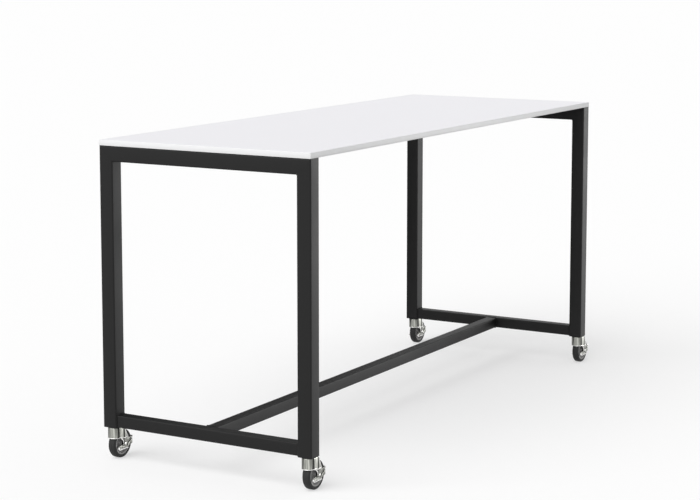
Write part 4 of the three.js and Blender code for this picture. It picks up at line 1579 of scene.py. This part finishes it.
@dataclass
class Studio:
    """The floor, the light and the camera.

    Attributes:
        place: The camera's place.
        yaw: The direction it looks in, in degrees from +X.
        tilt: How far it looks down, in degrees.
        lens: Its focal length in millimetres.
        shift: Its vertical shift.
        floor_size: The floor's side.
        floor_white: How much of the floor's look is plain white; the rest keeps the shadow.
        floor_tone: The floor's tone where it is seen.
        floor_bounce: Its tone for the light that it throws back on the table.
        sky: The strength of the light from all round.
        key: The strength of the main light.
        key_angle: The main light's spread, in degrees.
        key_tilt: How far the main light leans to the left end, in degrees.
        key_turn: How far it leans to the back, in degrees.
        card_span: The dark card's two ends along the table.
        card_depth: How far back the card stands.
        card_top: Its height.
        side_place: Where the soft side light stands, all of it lower than the top so that it leaves no glare there.
        side_size: The side light's width and height.
        side_power: Its power in watts.
    """

    place: tuple[float, float, float] = (-5.764, -3.2448, 1.641)
    yaw: float = 29.991
    tilt: float = 7.097
    lens: float = 96.768
    shift: float = -0.1
    floor_size: float = 600.0
    floor_white: float = 0.5
    floor_tone: float = 0.97
    floor_bounce: float = 0.5
    sky: float = 0.5
    key: float = 2.32
    key_angle: float = 60.0
    key_tilt: float = 46.0
    key_turn: float = 8.0
    card_span: tuple[float, float] = (-0.7, 1.8)
    card_depth: float = 0.95
    card_top: float = 1.0
    side_place: tuple[float, float, float] = (5.0, -4.2, 0.5)
    side_size: tuple[float, float] = (3.6, 1.0)
    side_power: float = 138.0

    def build_camera(self) -> None:
        """Makes the camera at the photograph's viewing angle."""
        data = bpy.data.cameras.new("camera")
        data.lens = self.lens
        data.sensor_width = 36.0
        data.shift_y = self.shift
        data.clip_end = 1000.0
        camera = linked(data, "camera")
        camera.location = self.place
        camera.rotation_euler = (math.radians(90 - self.tilt), 0, math.radians(self.yaw - 90))
        bpy.context.scene.camera = camera

    def build_floor(self) -> None:
        """Makes the pale floor."""
        material, shader, _ = start_material("pale_floor")
        shader.inputs["Roughness"].default_value = 0.9
        shader.inputs["Specular IOR Level"].default_value = 0.0
        nodes, links = material.node_tree.nodes, material.node_tree.links
        white = nodes.new("ShaderNodeEmission")
        share = nodes.new("ShaderNodeMath")
        share.operation = "MULTIPLY"
        share.inputs[1].default_value = self.floor_white
        blend = nodes.new("ShaderNodeMixShader")
        seen = seen_directly(material.node_tree)
        tone = nodes.new("ShaderNodeMapRange")
        tone.inputs["To Min"].default_value = self.floor_bounce
        tone.inputs["To Max"].default_value = self.floor_tone
        links.new(seen, tone.inputs["Value"])
        links.new(tone.outputs["Result"], shader.inputs["Base Color"])
        links.new(seen, share.inputs[0])
        links.new(share.outputs["Value"], blend.inputs["Fac"])
        links.new(shader.outputs["BSDF"], blend.inputs[1])
        links.new(white.outputs["Emission"], blend.inputs[2])
        links.new(blend.outputs["Shader"], nodes["Material Output"].inputs["Surface"])
        half = self.floor_size / 2
        mesh = bpy.data.meshes.new("floor")
        mesh.from_pydata([(-half, -half, 0), (half, -half, 0), (half, half, 0), (-half, half, 0)], [], [(0, 1, 2, 3)])
        mesh.materials.append(material)
        linked(mesh, "floor")

    def build_card(self) -> None:
        """Makes the dark card behind the table, which is seen only in reflections."""
        material, shader, _ = start_material("dark_card")
        shader.inputs["Base Color"].default_value = BLACK
        shader.inputs["Specular IOR Level"].default_value = 0.0
        (left, right), depth, top = self.card_span, self.card_depth, self.card_top
        mesh = bpy.data.meshes.new("dark_card")
        corners = [(left, depth, 0), (right, depth, 0), (right, depth, top), (left, depth, top)]
        mesh.from_pydata(corners, [], [(0, 1, 2, 3)])
        mesh.materials.append(material)
        card = linked(mesh, "dark_card")
        for use in ("camera", "diffuse", "transmission", "volume_scatter", "shadow"):
            setattr(card, f"visible_{use}", False)

    def build_light(self) -> None:
        """Makes an even sky, white where it is seen, a broad main light and a side light seen in reflections."""
        world = bpy.data.worlds.new("studio")
        bpy.context.scene.world = world
        world.use_nodes = True
        nodes, links = world.node_tree.nodes, world.node_tree.links
        background = nodes["Background"]
        background.inputs["Color"].default_value = WHITE
        strength = nodes.new("ShaderNodeMapRange")
        strength.inputs["To Min"].default_value = self.sky
        strength.inputs["To Max"].default_value = 1.0
        links.new(seen_directly(world.node_tree), strength.inputs["Value"])
        links.new(strength.outputs["Result"], background.inputs["Strength"])
        data = bpy.data.lights.new("main_light", "SUN")
        data.energy = self.key
        data.angle = math.radians(self.key_angle)
        light = linked(data, "main_light")
        light.rotation_euler = (math.radians(-self.key_turn), math.radians(-self.key_tilt), 0)
        soft = bpy.data.lights.new("side_light", "AREA")
        soft.shape = "RECTANGLE"
        soft.size, soft.size_y = self.side_size
        soft.energy = self.side_power
        side = linked(soft, "side_light")
        side.location = self.side_place
        side.visible_diffuse = False
        aim = Vector((0, 0, self.side_place[2])) - Vector(self.side_place)
        side.rotation_euler = aim.to_track_quat("-Z", "Y").to_euler()

    def build(self) -> None:
        """Builds floor, light and camera."""
        bpy.context.scene.view_settings.view_transform = "Standard"
        self.build_camera()
        self.build_floor()
        self.build_card()
        self.build_light()


def main() -> None:
    """Builds the studio and every sub-assembly of the table in order."""
    logging.basicConfig(level=logging.INFO, format="%(name)s: %(message)s")
    finishes = Finishes()
    finishes.build()
    Studio().build()
    Worktop(finishes).build()
    SteelFrame(finishes).build()
    TopFixings(finishes).build()
    Castor(finishes).build()


if __name__ == "__main__":
    main()
